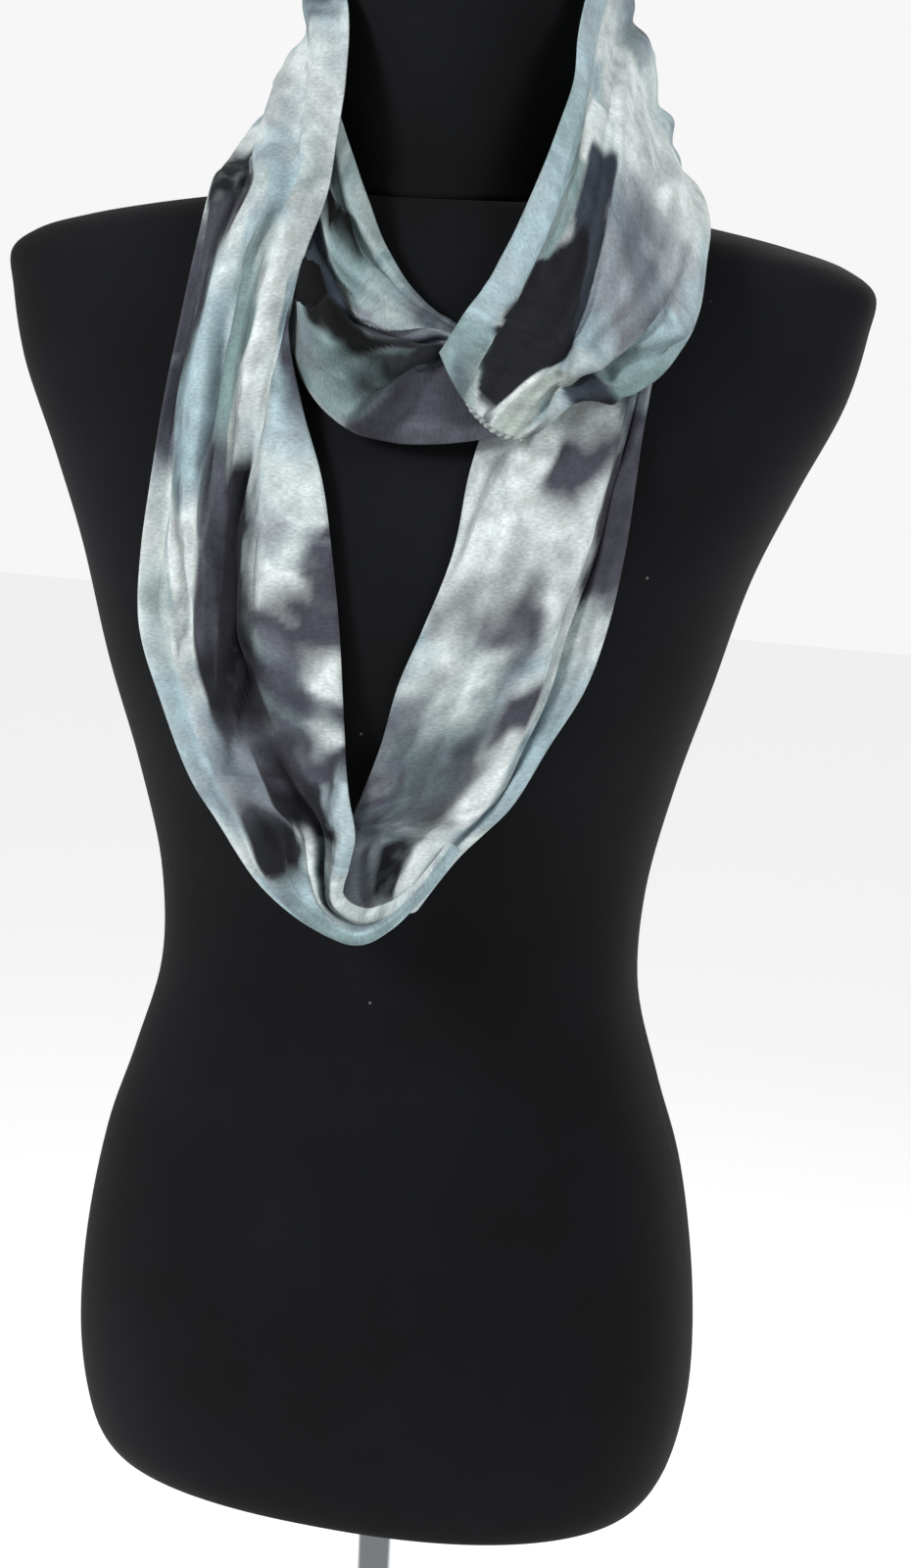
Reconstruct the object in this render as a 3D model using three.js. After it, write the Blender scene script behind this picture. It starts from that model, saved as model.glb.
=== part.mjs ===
// Infinity scarf of tie-dyed crepe, wound twice round the neck of a dress form on a pole stand.
// Millimetres, +Z up. The floor is z = 0, the pole stands on the Z axis and the chest faces -Y.
import * as THREE from "three";

// Dress form and stand
const HEM_HEIGHT = 850;           // lower edge of the torso above the floor
const NECK_SEAM = 1459;           // seam between torso and neck
const NECK_TOP = 1590;
const NECK_RADIUS = 56;
const NECK_X = 6;                 // the neck stands a little to one side of the pole and behind it
const NECK_Y = 14;
const NECK_ROUNDING = 8;          // of its closed top edge
const TORSO_ROUNDNESS = 2.3;      // exponent of the oval cross-section, 2 is an ellipse
const TORSO_FACETS = 44;
const POLE_RADIUS = 8;
const BASE_RADIUS = 175;
const BASE_THICKNESS = 12;
const SEAM_GAP = 0.3;             // between pieces that meet

// Cloth
const CLOTH = 1.2;                // wall thickness
const END_DRAWBACK = 0.42;        // of each stretch, so that two that lean together keep the seam gap
const STEPS_BETWEEN_FOLDS = 2;    // wall facets across the cloth, between two fold lines
const STEPS_BETWEEN_ROWS = 1.4;   // and along it, between two rows of a table

// Torso sections from the hem up: height, half width, depth in front of the pole and behind it.
const TORSO = [
  { z: HEM_HEIGHT, half: 129, front: 84, back: 84 },
  { z: 854, half: 136, front: 92, back: 94 },
  { z: 866, half: 143, front: 98, back: 100 },
  { z: 901, half: 150, front: 103, back: 108 },
  { z: 951, half: 149, front: 104, back: 110 },
  { z: 1012, half: 139, front: 98, back: 108 },
  { z: 1053, half: 126, front: 90, back: 98 },
  { z: 1098, half: 114, front: 82, back: 88 },
  { z: 1144, half: 115, front: 84, back: 84 },
  { z: 1195, half: 126, front: 98, back: 86 },
  { z: 1245, half: 141, front: 112, back: 92 },
  { z: 1296, half: 156, front: 112, back: 98 },
  { z: 1337, half: 174, front: 100, back: 101 },
  { z: 1377, half: 193, front: 84, back: 100 },
  { z: 1408, half: 201, front: 70, back: 94 },
  { z: 1426, half: 203, front: 62, back: 88 },
  { z: 1436, half: 190, front: 57, back: 84 },
  { z: 1444, half: 163, front: 53, back: 81 },
  { z: 1450, half: 133, front: 50, back: 79 },
  { z: 1455, half: 101, front: 47, back: 77 },
  { z: NECK_SEAM - SEAM_GAP, half: 74, front: 44, back: 75 },
];

// A point on the torso's front at a height and a distance aside, moved out by some millimetres.
// Below the bust the cloth hangs straight down, so it keeps the bust's depth.
const BUST_HEIGHT = 1245;
function between(table, height, column) {
  const above = Math.max(1, table.findIndex((row) => row.z >= height));
  const [low, high] = [table[above - 1], table[above]];
  return THREE.MathUtils.lerp(low[column], high[column], (height - low.z) / (high.z - low.z));
}
function chest(x, z, out) {
  const level = Math.max(z, BUST_HEIGHT);
  const across = Math.abs(x) / between(TORSO, level, "half");
  const depth = between(TORSO, level, "front") * (1 - across ** TORSO_ROUNDNESS) ** (1 / TORSO_ROUNDNESS);
  return new THREE.Vector3(x, -depth - out, z);
}

// A point round the neck: turn in degrees from the front, + to the left arm's side, 180 at the nape.
function collar(turn, radius, z) {
  const angle = THREE.MathUtils.degToRad(turn);
  return new THREE.Vector3(NECK_X + radius * Math.sin(angle), NECK_Y - radius * Math.cos(angle), z);
}
const free = (x, y, z) => new THREE.Vector3(x, y, z);

// The way out of the form: forward and aside on the chest, square to the neck higher up.
function outward(point) {
  const k = THREE.MathUtils.smoothstep(point.z, 1420, 1500);
  const x = THREE.MathUtils.lerp(0.45 * point.x, point.x - NECK_X, k);
  const y = THREE.MathUtils.lerp(point.y, point.y - NECK_Y, k);
  return new THREE.Vector3(x, y, 0).normalize().setZ(0.35 * k).normalize();
}

// The strip is one closed band, so its tables run on from stretch to stretch. A row gives the low (outer)
// and the top (inner) edge of one cross-section, how far its middle bows out, and how far it sags.
// A fold line gives its share of the way from the low edge to the top one, and its rise out of the
// section, at the stations: places along the stretch, counted in rows. A stretch that has one before it
// starts at that one's last row, which is its station 0 and isn't repeated.
const SHORT_FRONT = {
  name: "scarf_short_front",
  color: 0x9fb0b2,
  rows: [
    { low: chest(84, 1369, 11), top: chest(58, 1399, 10), bow: 0 },
    { low: chest(62, 1362, 11), top: chest(49, 1404, 10), bow: 1 },
    { low: chest(38, 1358, 11), top: chest(38, 1408, 9), bow: 3 },
    { low: chest(16, 1358, 11), top: chest(22, 1417, 9), bow: 5 },
    { low: chest(-7, 1365, 10), top: chest(3, 1436, 8), bow: 5 },
    { low: chest(-26, 1380, 7), top: free(-13, -57, 1464), bow: 4 },
    { low: chest(-38, 1400, 4.5), top: free(-25, -49, 1487), bow: 3 },
    { low: chest(-55, 1424, 4), top: free(-38, -32, 1505), bow: 5 },
    { low: free(-68, -55, 1452), top: free(-48, -16, 1514), bow: 6 },
    { low: collar(-76, 86, 1465), top: collar(-88, 60, 1520), bow: 3 },
  ],
  stations: [0, 2, 3.5, 5, 6, 9],
  folds: [
    { name: "lower edge", across: [0, 0, 0, 0, 0, 0], rise: [0, 0, -1, -1, 0, 0] },
    { name: "flap, lower", across: [0.1, 0.2, 0.09, 0.06, 0.07, 0.08], rise: [0, 2, 3, 2, 1, 1] },
    { name: "flap, edge", across: [0.22, 0.55, 0.22, 0.12, 0.14, 0.17], rise: [0, 3, 6, 4, 1, 0] },
    { name: "flap, groove", across: [0.3, 0.68, 0.27, 0.17, 0.2, 0.25], rise: [0, 1, 1, 5, 2, -1] },
    { name: "big fold, belly", across: [0.42, 0.74, 0.45, 0.23, 0.27, 0.33], rise: [1, 2, 6, 6, 2, 0] },
    { name: "big fold, ridge", across: [0.5, 0.8, 0.6, 0.3, 0.33, 0.42], rise: [0, 2, 6, 5, 2, 1] },
    { name: "tube, lower groove", across: [0.58, 0.83, 0.64, 0.37, 0.42, 0.5], rise: [0, 0, 0, -2, -1, -1] },
    { name: "tube, ridge", across: [0.66, 0.87, 0.7, 0.45, 0.5, 0.58], rise: [0, 1, 3, 3, 1, 0] },
    { name: "hem groove", across: [0.73, 0.9, 0.77, 0.54, 0.59, 0.66], rise: [0, 0, 0, -2, -1, -1] },
    { name: "second strip", across: [0.8, 0.94, 0.86, 0.66, 0.68, 0.74], rise: [1, 1, 3, 4, 2, 1] },
    { name: "dark gap", across: [0.87, 0.96, 0.92, 0.78, 0.79, 0.83], rise: [0, 0, 0, -3, -2, -1] },
    { name: "first strip", across: [0.94, 0.98, 0.97, 0.9, 0.9, 0.92], rise: [0, 1, 2, 3, 2, 1] },
    { name: "upper edge", across: [1, 1, 1, 1, 1, 1], rise: [0, 0, 0, 0, 0, 0] },
  ],
};

const NECK_INNER = {
  name: "scarf_neck_inner",
  color: 0x8f9fa2,
  rows: [
    { low: collar(-102, 84, 1469), top: collar(-108, 59.5, 1527), bow: 2 },
    { low: collar(-130, 80, 1474), top: collar(-132, 59.5, 1532), bow: 2 },
    { low: collar(-165, 78, 1479), top: collar(-165, 59.5, 1535), bow: 2 },
    { low: collar(-200, 78, 1478), top: collar(-198, 59.5, 1534), bow: 2 },
    { low: collar(-235, 82, 1472), top: collar(-230, 60, 1528), bow: 2 },
    { low: collar(-264, 87, 1467), top: collar(-262, 60, 1518), bow: 2 },
  ],
  stations: [2.5, 6],
  folds: [
    { across: [0, 0], rise: [0, 0] },
    { across: [0.07, 0.06], rise: [1.5, 1] },
    { across: [0.17, 0.13], rise: [-1, -1] },
    { across: [0.26, 0.21], rise: [2, 1] },
    { across: [0.34, 0.27], rise: [-1.5, -1] },
    { across: [0.42, 0.34], rise: [1.5, 1] },
    { across: [0.52, 0.45], rise: [-1, 0] },
    { across: [0.6, 0.55], rise: [2, 1.5] },
    { across: [0.68, 0.65], rise: [-1, 0] },
    { across: [0.76, 0.74], rise: [1.5, 1] },
    { across: [0.85, 0.83], rise: [-1, -1] },
    { across: [0.93, 0.92], rise: [1, 0.5] },
    { across: [1, 1], rise: [0, 0] },
  ],
};

const LONG_RIGHT = {
  name: "scarf_long_right",
  color: 0xb9c4c4,
  rows: [
    { low: collar(74, 104, 1465), top: collar(74, 65, 1492), bow: 2 },
    { low: free(119, -54, 1448), top: free(70, -58, 1457), bow: 3 },
    { low: chest(124, 1420, 5), top: chest(74, 1425, 4), bow: 2 },
    { low: chest(124, 1393, 4), top: chest(67, 1393, 4), bow: 2 },
    { low: chest(122.5, 1366, 3), top: chest(58, 1368, 4), bow: 3 },
    { low: chest(121.5, 1345, 3), top: chest(54, 1346, 4), bow: 4 },
    { low: chest(120, 1318, 4), top: chest(52, 1315, 4), bow: 5 },
    { low: chest(115, 1285, 5), top: chest(42, 1282, 4), bow: 6 },
    { low: chest(107, 1258, 5), top: chest(32, 1256, 4), bow: 6 },
    { low: chest(94, 1233, 4), top: chest(25, 1229, 3), bow: 5 },
    { low: chest(81, 1207, 4), top: chest(17, 1206, 2), bow: 4 },
    { low: chest(70, 1194, 4), top: chest(11, 1191, 1), bow: 3 },
    { low: chest(61, 1184, 4), top: chest(9, 1178, 1), bow: 2 },
    { low: chest(53, 1173, 3), top: chest(11, 1166, 1), bow: 1 },
    { low: chest(45, 1164, 2), top: chest(16, 1157, 1), bow: 0 },
  ],
  stations: [1, 4.5, 8, 11, 15],
  folds: [
    { name: "outer edge", across: [0, 0, 0, 0, 0], rise: [0, 0, 0, 0, 0] },
    { name: "side strip", across: [0.05, 0.03, 0.07, 0.04, 0.06], rise: [1, 2, 2, 2, 1] },
    { name: "side strip", across: [0.1, 0.06, 0.15, 0.08, 0.12], rise: [1, 1, 2, 2, 1] },
    { name: "side crease", across: [0.15, 0.1, 0.22, 0.12, 0.18], rise: [0, -2, -2, -1, 0] },
    { name: "panel ridge", across: [0.2, 0.14, 0.26, 0.16, 0.26], rise: [1, 3, 3, 4, 3] },
    { name: "panel", across: [0.28, 0.25, 0.35, 0.26, 0.34], rise: [0, 1, 2, 3, 2] },
    { name: "panel", across: [0.37, 0.37, 0.46, 0.38, 0.42], rise: [0, 2, 0, 0, -1] },
    { name: "panel", across: [0.47, 0.48, 0.56, 0.5, 0.5], rise: [0, 0, 2, 2, -2] },
    { name: "panel", across: [0.57, 0.58, 0.66, 0.61, 0.6], rise: [0, 1, 1, 0, -2] },
    { name: "flap ridge", across: [0.67, 0.67, 0.76, 0.72, 0.7], rise: [0, 2, 2, 1, -2] },
    { name: "flap crease", across: [0.78, 0.74, 0.84, 0.82, 0.8], rise: [0, -2, 0, 0, -2] },
    { name: "flap", across: [0.9, 0.88, 0.92, 0.91, 0.9], rise: [0, -1, 0, 1, -1] },
    { name: "inner edge", across: [1, 1, 1, 1, 1], rise: [0, -1, 0, 0, 0] },
  ],
};

const LONG_BOTTOM = {
  name: "scarf_long_bottom",
  color: 0xaab6b6,
  rows: [
    { low: chest(63, 1187.5, 11), top: chest(58.5, 1192, 12), bow: 0 },
    { low: chest(55, 1175, 11), top: chest(51, 1181, 12), bow: 0.5 },
    { low: chest(46, 1163, 10), top: chest(43.5, 1170.5, 12), bow: 1 },
    { low: chest(34, 1150, 9), top: chest(33, 1162.5, 12), bow: 1 },
    { low: chest(20, 1142, 8), top: chest(21, 1158, 12), bow: 2 },
    { low: chest(-3, 1148, 8), top: chest(10.5, 1163, 12), bow: 3 },
    { low: chest(-27, 1163, 7), top: chest(12, 1176, 12), bow: 3 },
  ],
  stations: [0, 2, 3, 4, 6],
  folds: [
    { name: "outer edge", across: [0, 0, 0, 0, 0], rise: [0, 0, 0, 0, 0] },
    { name: "crescent", across: [0.07, 0.06, 0.05, 0.05, 0.05], rise: [0, 0, 0.3, 1, 1] },
    { name: "crescent", across: [0.14, 0.12, 0.1, 0.1, 0.12], rise: [0, 0, 0.5, 2, -1] },
    { name: "crescent", across: [0.21, 0.19, 0.16, 0.16, 0.21], rise: [0, 0, 0.7, 2, 1] },
    { name: "crescent", across: [0.29, 0.26, 0.22, 0.22, 0.3], rise: [0, 0, 0.7, 2.5, 0] },
    { name: "crescent", across: [0.37, 0.34, 0.28, 0.28, 0.38], rise: [0, 0, 0.7, 2.5, -1] },
    { name: "crescent", across: [0.45, 0.42, 0.34, 0.34, 0.46], rise: [0, 0, 0.5, 2, 0] },
    { name: "cream ridge", across: [0.53, 0.5, 0.4, 0.4, 0.55], rise: [0, 0, 0.3, 1.5, 3] },
    { name: "cream ridge", across: [0.62, 0.58, 0.47, 0.46, 0.64], rise: [0, 0, 0, 0, 2] },
    { name: "dark groove", across: [0.71, 0.66, 0.54, 0.53, 0.73], rise: [0, 0, -0.2, -1, -3] },
    { name: "ring", across: [0.8, 0.75, 0.66, 0.65, 0.82], rise: [0, 0, 0, 1, 3] },
    { name: "ring", across: [0.9, 0.87, 0.84, 0.83, 0.92], rise: [0, 0, 0.3, 2, 4] },
    { name: "inner edge", across: [1, 1, 1, 1, 1], rise: [0, 0, 0, 0, 2] },
  ],
};

const LONG_LEFT = {
  name: "scarf_long_left",
  color: 0xa7b5b8,
  rows: [
    { low: chest(-50, 1189, 6), top: chest(15, 1191, 10), bow: 3 },
    { low: chest(-64, 1204, 5), top: chest(14, 1210, 9), bow: 4 },
    { low: chest(-82, 1236, 5.5), top: chest(10, 1242, 8), bow: 7 },
    { low: chest(-94, 1268, 6), top: chest(6, 1279, 6), bow: 8 },
    { low: chest(-94, 1301, 5.5), top: chest(0, 1310, 6), bow: 8 },
    { low: chest(-92, 1335, 5), top: chest(-9, 1340, 7), bow: 6 },
    { low: chest(-89, 1369, 7), top: chest(-23, 1371, 10), bow: 6 },
    { low: chest(-86, 1402, 10), top: chest(-33, 1404, 18), bow: 5 },
    { low: chest(-85, 1430, 12), top: chest(-32, 1433, 22), bow: 5 },
    { low: free(-84, -55, 1459), top: free(-26, -74, 1459), bow: 5 },
    { low: collar(-72, 104, 1466), top: free(-24, -68, 1482), bow: 8 },
    { low: collar(-84, 104, 1469), top: free(-23, -60, 1508), bow: 7 },
    { low: collar(-96, 103, 1470), top: collar(-32, 66, 1540), bow: 7 },
    { low: collar(-110, 101, 1471), top: collar(-60, 60, 1559), bow: 6 },
  ],
  stations: [1, 3, 4, 5, 6, 7, 8, 9, 10, 14],
  folds: [
    { name: "outer edge",
      across: [0, 0, 0, 0, 0, 0, 0, 0, 0, 0],
      rise: [0, 0, 0, 0, 0, 0, 0, 0, 0, 0] },
    { name: "pale rim",
      across: [0.06, 0.05, 0.05, 0.04, 0.03, 0.03, 0.03, 0.04, 0.04, 0.06],
      rise: [1.5, 2, 2, 2, 2, 2, 2, 1.5, 1, 1.5] },
    { name: "outer groove",
      across: [0.14, 0.13, 0.15, 0.16, 0.09, 0.08, 0.12, 0.13, 0.12, 0.15],
      rise: [-1, -1, -3, -3, -2, -2, -2, -1, -0.5, -1] },
    { name: "teardrop ridge",
      across: [0.24, 0.2, 0.24, 0.22, 0.16, 0.14, 0.2, 0.24, 0.19, 0.25],
      rise: [1, 2, 3, 3, 0, 0, 0, 1, 1, 2] },
    { name: "broad fold, left",
      across: [0.36, 0.28, 0.29, 0.3, 0.25, 0.24, 0.3, 0.33, 0.34, 0.35],
      rise: [-1, 0, 0, 4, 4, 4, 4, 3, -2, -1] },
    { name: "broad fold, right",
      across: [0.46, 0.34, 0.34, 0.35, 0.33, 0.38, 0.38, 0.43, 0.45, 0.45],
      rise: [-2, -1, 0, 0, 3, 4, 4, 3, 0, 2] },
    { name: "teal groove",
      across: [0.55, 0.42, 0.4, 0.4, 0.38, 0.43, 0.46, 0.54, 0.6, 0.55],
      rise: [-1, -1, -1, 0, -2, -2, -1, 3, 3, 1] },
    { name: "white fold, left",
      across: [0.62, 0.48, 0.46, 0.46, 0.47, 0.54, 0.69, 0.64, 0.78, 0.66],
      rise: [4, 0, 0, 0, 0, 1, 2, -2, -2, -2] },
    { name: "white fold, right",
      across: [0.7, 0.54, 0.5, 0.52, 0.56, 0.65, 0.81, 0.87, 0.9, 0.8],
      rise: [2, 0, -2, -1, 3, 4, 4, 4, 4, 3] },
    { name: "tuck",
      across: [0.78, 0.6, 0.54, 0.56, 0.61, 0.71, 0.87, 0.92, 0.94, 0.86],
      rise: [-2, 0, -4, -4, -2, 0, 2, 3, 3, 1] },
    { name: "inner panel, left",
      across: [0.84, 0.67, 0.59, 0.61, 0.66, 0.77, 0.92, 0.95, 0.965, 0.91],
      rise: [4, 3, 2, 2, 1, -1, 0, 1, 0.5, -1] },
    { name: "inner panel",
      across: [0.91, 0.83, 0.78, 0.8, 0.82, 0.87, 0.96, 0.975, 0.98, 0.955],
      rise: [5, 4, 4, 3, 2, 0, -1, -1, -2, -1] },
    { name: "inner edge",
      across: [1, 1, 1, 1, 1, 1, 1, 1, 1, 1],
      rise: [3, 1, 0, 0, 0, 0, -1, -3, -4, 0] },
  ],
};

const NECK_OUTER = {
  name: "scarf_neck_outer",
  color: 0x9aa9ac,
  rows: [
    { low: collar(-135, 97, 1476), top: collar(-100, 60, 1568), bow: 5 },
    { low: collar(-165, 93, 1483), top: collar(-145, 58.7, 1573), bow: 5 },
    { low: collar(-197, 92, 1486), top: collar(-193, 59.4, 1575), bow: 4 },
    { low: collar(-226, 96, 1483), top: collar(-234, 63, 1575), bow: 4 },
    { low: collar(-252, 101, 1477), top: collar(-268, 65, 1572), bow: 2 },
  ],
  stations: [2.5, 5],
  folds: [
    { across: [0, 0], rise: [0, 0] },
    { across: [0.06, 0.05], rise: [2, 1] },
    { across: [0.13, 0.11], rise: [0, 0] },
    { across: [0.22, 0.2], rise: [3, 1.5] },
    { across: [0.31, 0.29], rise: [-2, -1] },
    { across: [0.4, 0.38], rise: [1, 1] },
    { across: [0.47, 0.47], rise: [3.5, 2] },
    { across: [0.57, 0.56], rise: [2, 2] },
    { across: [0.65, 0.64], rise: [-2, -1] },
    { across: [0.73, 0.71], rise: [1.5, 1] },
    { across: [0.82, 0.79], rise: [2.5, 2] },
    { across: [0.92, 0.89], rise: [0, 1] },
    { across: [1, 1], rise: [0, 0] },
  ],
};

const SHORT_RIGHT = {
  name: "scarf_short_right",
  color: 0xc3ccd0,
  rows: [
    { low: collar(88, 108, 1470), top: collar(76, 68, 1562), bow: -3 },
    { low: free(126, -6, 1465), top: collar(68, 70, 1547), bow: -5 },
    { low: free(138, -33, 1454), top: free(73, -30, 1529), bow: -4 },
    { low: free(143, -58, 1438), top: free(75, -40, 1511), bow: 0 },
    { low: chest(144, 1420, 19), top: free(72, -48, 1493), bow: 3 },
    { low: chest(141, 1406, 19), top: free(69, -56, 1477), bow: 6 },
    { low: chest(134, 1393, 19), top: free(64, -62, 1460), bow: 8 },
    { low: chest(125, 1385, 19), top: chest(58, 1443, 16), bow: 9 },
    { low: chest(116, 1380, 19), top: chest(53, 1428, 16), bow: 9 },
    { low: chest(99, 1379, 19), top: chest(45, 1412, 19), bow: 7, sag: 3 },
    { low: chest(81, 1364, 20), top: chest(38, 1396, 22), bow: 4, sag: 11 },
  ],
  stations: [4, 6, 8.5, 11],
  folds: [
    { name: "lower edge", across: [0, 0, 0, 0], rise: [-2, -3, -4, 0] },
    { name: "roll", across: [0.06, 0.08, 0.11, 0.07], rise: [1, 4, 3, 1] },
    { name: "roll groove", across: [0.14, 0.2, 0.25, 0.14], rise: [0, -1, -5, 0] },
    { name: "panel", across: [0.25, 0.28, 0.3, 0.21], rise: [2, 2, 1, 1] },
    { name: "panel", across: [0.38, 0.38, 0.36, 0.28], rise: [1, 2, 2, 1] },
    { name: "panel", across: [0.5, 0.48, 0.41, 0.35], rise: [2, 2, 3, 2] },
    { name: "panel", across: [0.61, 0.57, 0.46, 0.42], rise: [2, 2, 3, 2] },
    { name: "panel edge", across: [0.7, 0.65, 0.51, 0.48], rise: [3, 4, 4, 1] },
    { name: "dark groove", across: [0.74, 0.69, 0.55, 0.54], rise: [-0.5, -0.5, 0, 0] },
    { name: "dark strip", across: [0.8, 0.76, 0.66, 0.62], rise: [0, 0, 0.5, 1] },
    { name: "blue groove", across: [0.87, 0.84, 0.79, 0.72], rise: [-1, -1, -1, 0] },
    { name: "blue strip", across: [0.93, 0.91, 0.88, 0.86], rise: [1.5, 2, 2, 1] },
    { name: "upper edge", across: [1, 1, 1, 1], rise: [0, 0, 0, 0] },
  ],
};

// A value of a fold's list at a place along its stretch, straight between two stations.
function atStation(values, stations, place) {
  const next = stations.findIndex((station) => station >= place);
  if (next <= 0) return next === 0 ? values[0] : values.at(-1);
  const share = (place - stations[next - 1]) / (stations[next] - stations[next - 1]);
  return THREE.MathUtils.lerp(values[next - 1], values[next], share);
}

// One cross-section: the points of all fold lines on a row.
function sectionPoints(row, shares, rises) {
  return shares.map((share, line) => {
    const point = row.low.clone().lerp(row.top, share);
    const middle = 4 * share * (1 - share);
    point.z -= (row.sag ?? 0) * middle;
    return point.addScaledVector(outward(point), (row.bow ?? 0) * middle + rises[line]);
  });
}

// The sections of stretches that run on from each other, and where each stretch starts and ends.
function sectionsOf(stretches) {
  const sections = [];
  const spans = [];
  let last;
  for (const { name, color, rows, stations, folds } of stretches) {
    const carried = last !== undefined;
    const places = carried ? [0, ...stations] : stations;
    const lists = folds.map((fold, line) => ({
      across: carried ? [last[line].across, ...fold.across] : fold.across,
      rise: carried ? [last[line].rise, ...fold.rise] : fold.rise,
    }));
    const start = carried ? sections.length - 1 : 0;
    rows.forEach((row, index) => {
      const place = carried ? index + 1 : index;
      const shares = lists.map(({ across }) => atStation(across, places, place));
      const rises = lists.map(({ rise }) => atStation(rise, places, place));
      sections.push(sectionPoints(row, shares, rises));
    });
    spans.push({ name, color, start, end: sections.length - 1 });
    last = folds.map(({ across, rise }) => ({ across: across.at(-1), rise: rise.at(-1) }));
  }
  return { sections, spans };
}

// Smooth curve through points; its parameter runs from 0 to 1 in equal shares between the points.
const smooth = (points) => new THREE.CatmullRomCurve3(points, false, "centripetal");

// The middle surface of one stretch as a grid of points: along the cloth, then across it.
function stretchGrid(sections, { start, end }) {
  const lines = sections[0].map((_, line) => smooth(sections.map((section) => section[line])));
  const steps = Math.ceil((end - start) * STEPS_BETWEEN_ROWS);
  const across = (sections[0].length - 1) * STEPS_BETWEEN_FOLDS;
  const grid = [];
  for (let i = 0; i <= steps; i++) {
    const place = start + ((end - start) * i) / steps;
    const section = lines.map((line) => line.getPoint(place / (sections.length - 1)));
    grid.push(smooth(section).getPoints(across));
  }
  for (const [edge, inside] of [[grid[0], grid[1]], [grid.at(-1), grid.at(-2)]]) {
    edge.forEach((point, j) => {
      const step = inside[j].clone().sub(point);
      point.addScaledVector(step.normalize(), END_DRAWBACK);
    });
  }
  return grid;
}

// A closed wall of even thickness on both sides of a grid of points.
function wallGeometry(grid, thickness) {
  const [rows, columns] = [grid.length, grid[0].length];
  const at = (i, j) => grid[Math.min(Math.max(i, 0), rows - 1)][Math.min(Math.max(j, 0), columns - 1)];
  const normal = (i, j) => {
    const along = at(i + 1, j).clone().sub(at(i - 1, j));
    const across = at(i, j + 1).clone().sub(at(i, j - 1));
    return along.cross(across).normalize();
  };
  const positions = [];
  for (const side of [0.5, -0.5]) {
    for (let i = 0; i < rows; i++) {
      for (let j = 0; j < columns; j++) {
        positions.push(...at(i, j).clone().addScaledVector(normal(i, j), side * thickness).toArray());
      }
    }
  }
  const vertex = (side, i, j) => side * rows * columns + i * columns + j;
  const index = [];
  const quad = (a, b, c, d) => index.push(a, b, c, a, c, d);
  for (let i = 0; i < rows - 1; i++) {
    for (let j = 0; j < columns - 1; j++) {
      quad(vertex(0, i, j), vertex(0, i + 1, j), vertex(0, i + 1, j + 1), vertex(0, i, j + 1));
      quad(vertex(1, i, j), vertex(1, i, j + 1), vertex(1, i + 1, j + 1), vertex(1, i + 1, j));
    }
  }
  for (let i = 0; i < rows - 1; i++) {
    quad(vertex(0, i, 0), vertex(1, i, 0), vertex(1, i + 1, 0), vertex(0, i + 1, 0));
    const j = columns - 1;
    quad(vertex(0, i, j), vertex(0, i + 1, j), vertex(1, i + 1, j), vertex(1, i, j));
  }
  for (let j = 0; j < columns - 1; j++) {
    quad(vertex(0, 0, j), vertex(0, 0, j + 1), vertex(1, 0, j + 1), vertex(1, 0, j));
    const i = rows - 1;
    quad(vertex(0, i, j), vertex(1, i, j), vertex(1, i, j + 1), vertex(0, i, j + 1));
  }
  return closedGeometry(positions, index);
}

function closedGeometry(positions, index) {
  const geometry = new THREE.BufferGeometry();
  geometry.setAttribute("position", new THREE.Float32BufferAttribute(positions, 3));
  geometry.setIndex(index);
  geometry.computeVertexNormals();
  return geometry;
}

// The torso: an oval at each row of its table, closed flat at the hem and at the neck seam.
function torsoGeometry() {
  const positions = [];
  const index = [];
  const power = 2 / TORSO_ROUNDNESS;
  const oval = (value) => Math.sign(value) * Math.abs(value) ** power;
  for (const { z, half, front, back } of TORSO) {
    for (let k = 0; k < TORSO_FACETS; k++) {
      const angle = (2 * Math.PI * k) / TORSO_FACETS;
      const depth = oval(Math.sin(angle));
      positions.push(half * oval(Math.cos(angle)), depth * (depth < 0 ? front : back), z);
    }
  }
  const ring = (row, k) => row * TORSO_FACETS + (k % TORSO_FACETS);
  for (let row = 0; row < TORSO.length - 1; row++) {
    for (let k = 0; k < TORSO_FACETS; k++) {
      const [a, b, c, d] = [ring(row, k), ring(row, k + 1), ring(row + 1, k + 1), ring(row + 1, k)];
      index.push(a, b, c, a, c, d);
    }
  }
  for (let k = 1; k < TORSO_FACETS - 1; k++) {
    index.push(ring(0, 0), ring(0, k + 1), ring(0, k));
    index.push(ring(TORSO.length - 1, 0), ring(TORSO.length - 1, k), ring(TORSO.length - 1, k + 1));
  }
  return closedGeometry(positions, index);
}

// A turned piece standing on the XY plane, from a profile of [radius, height] pairs.
function turned(profile, facets) {
  const geometry = new THREE.LatheGeometry(profile.map(([r, z]) => new THREE.Vector2(r, z)), facets);
  return geometry.rotateX(Math.PI / 2);
}

const group = new THREE.Group();
function add(name, geometry, material, x = 0, y = 0, z = 0) {
  const mesh = new THREE.Mesh(geometry, new THREE.MeshStandardMaterial(material));
  mesh.name = name;
  mesh.position.set(x, y, z);
  group.add(mesh);
}

const jersey = { color: 0x1b1c1e, roughness: 0.95, metalness: 0 };
const chrome = { color: 0xc9ccd0, roughness: 0.15, metalness: 1 };

add("form_torso", torsoGeometry(), jersey);

const neckHeight = NECK_TOP - NECK_SEAM;
add("form_neck", turned([
  [0, 0], [NECK_RADIUS + 2, 0], [NECK_RADIUS, 12], [NECK_RADIUS - 1, neckHeight - NECK_ROUNDING],
  [NECK_RADIUS - 4, neckHeight - 2], [NECK_RADIUS - NECK_ROUNDING, neckHeight], [0, neckHeight],
], 40), jersey, NECK_X, NECK_Y, NECK_SEAM);

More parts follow.
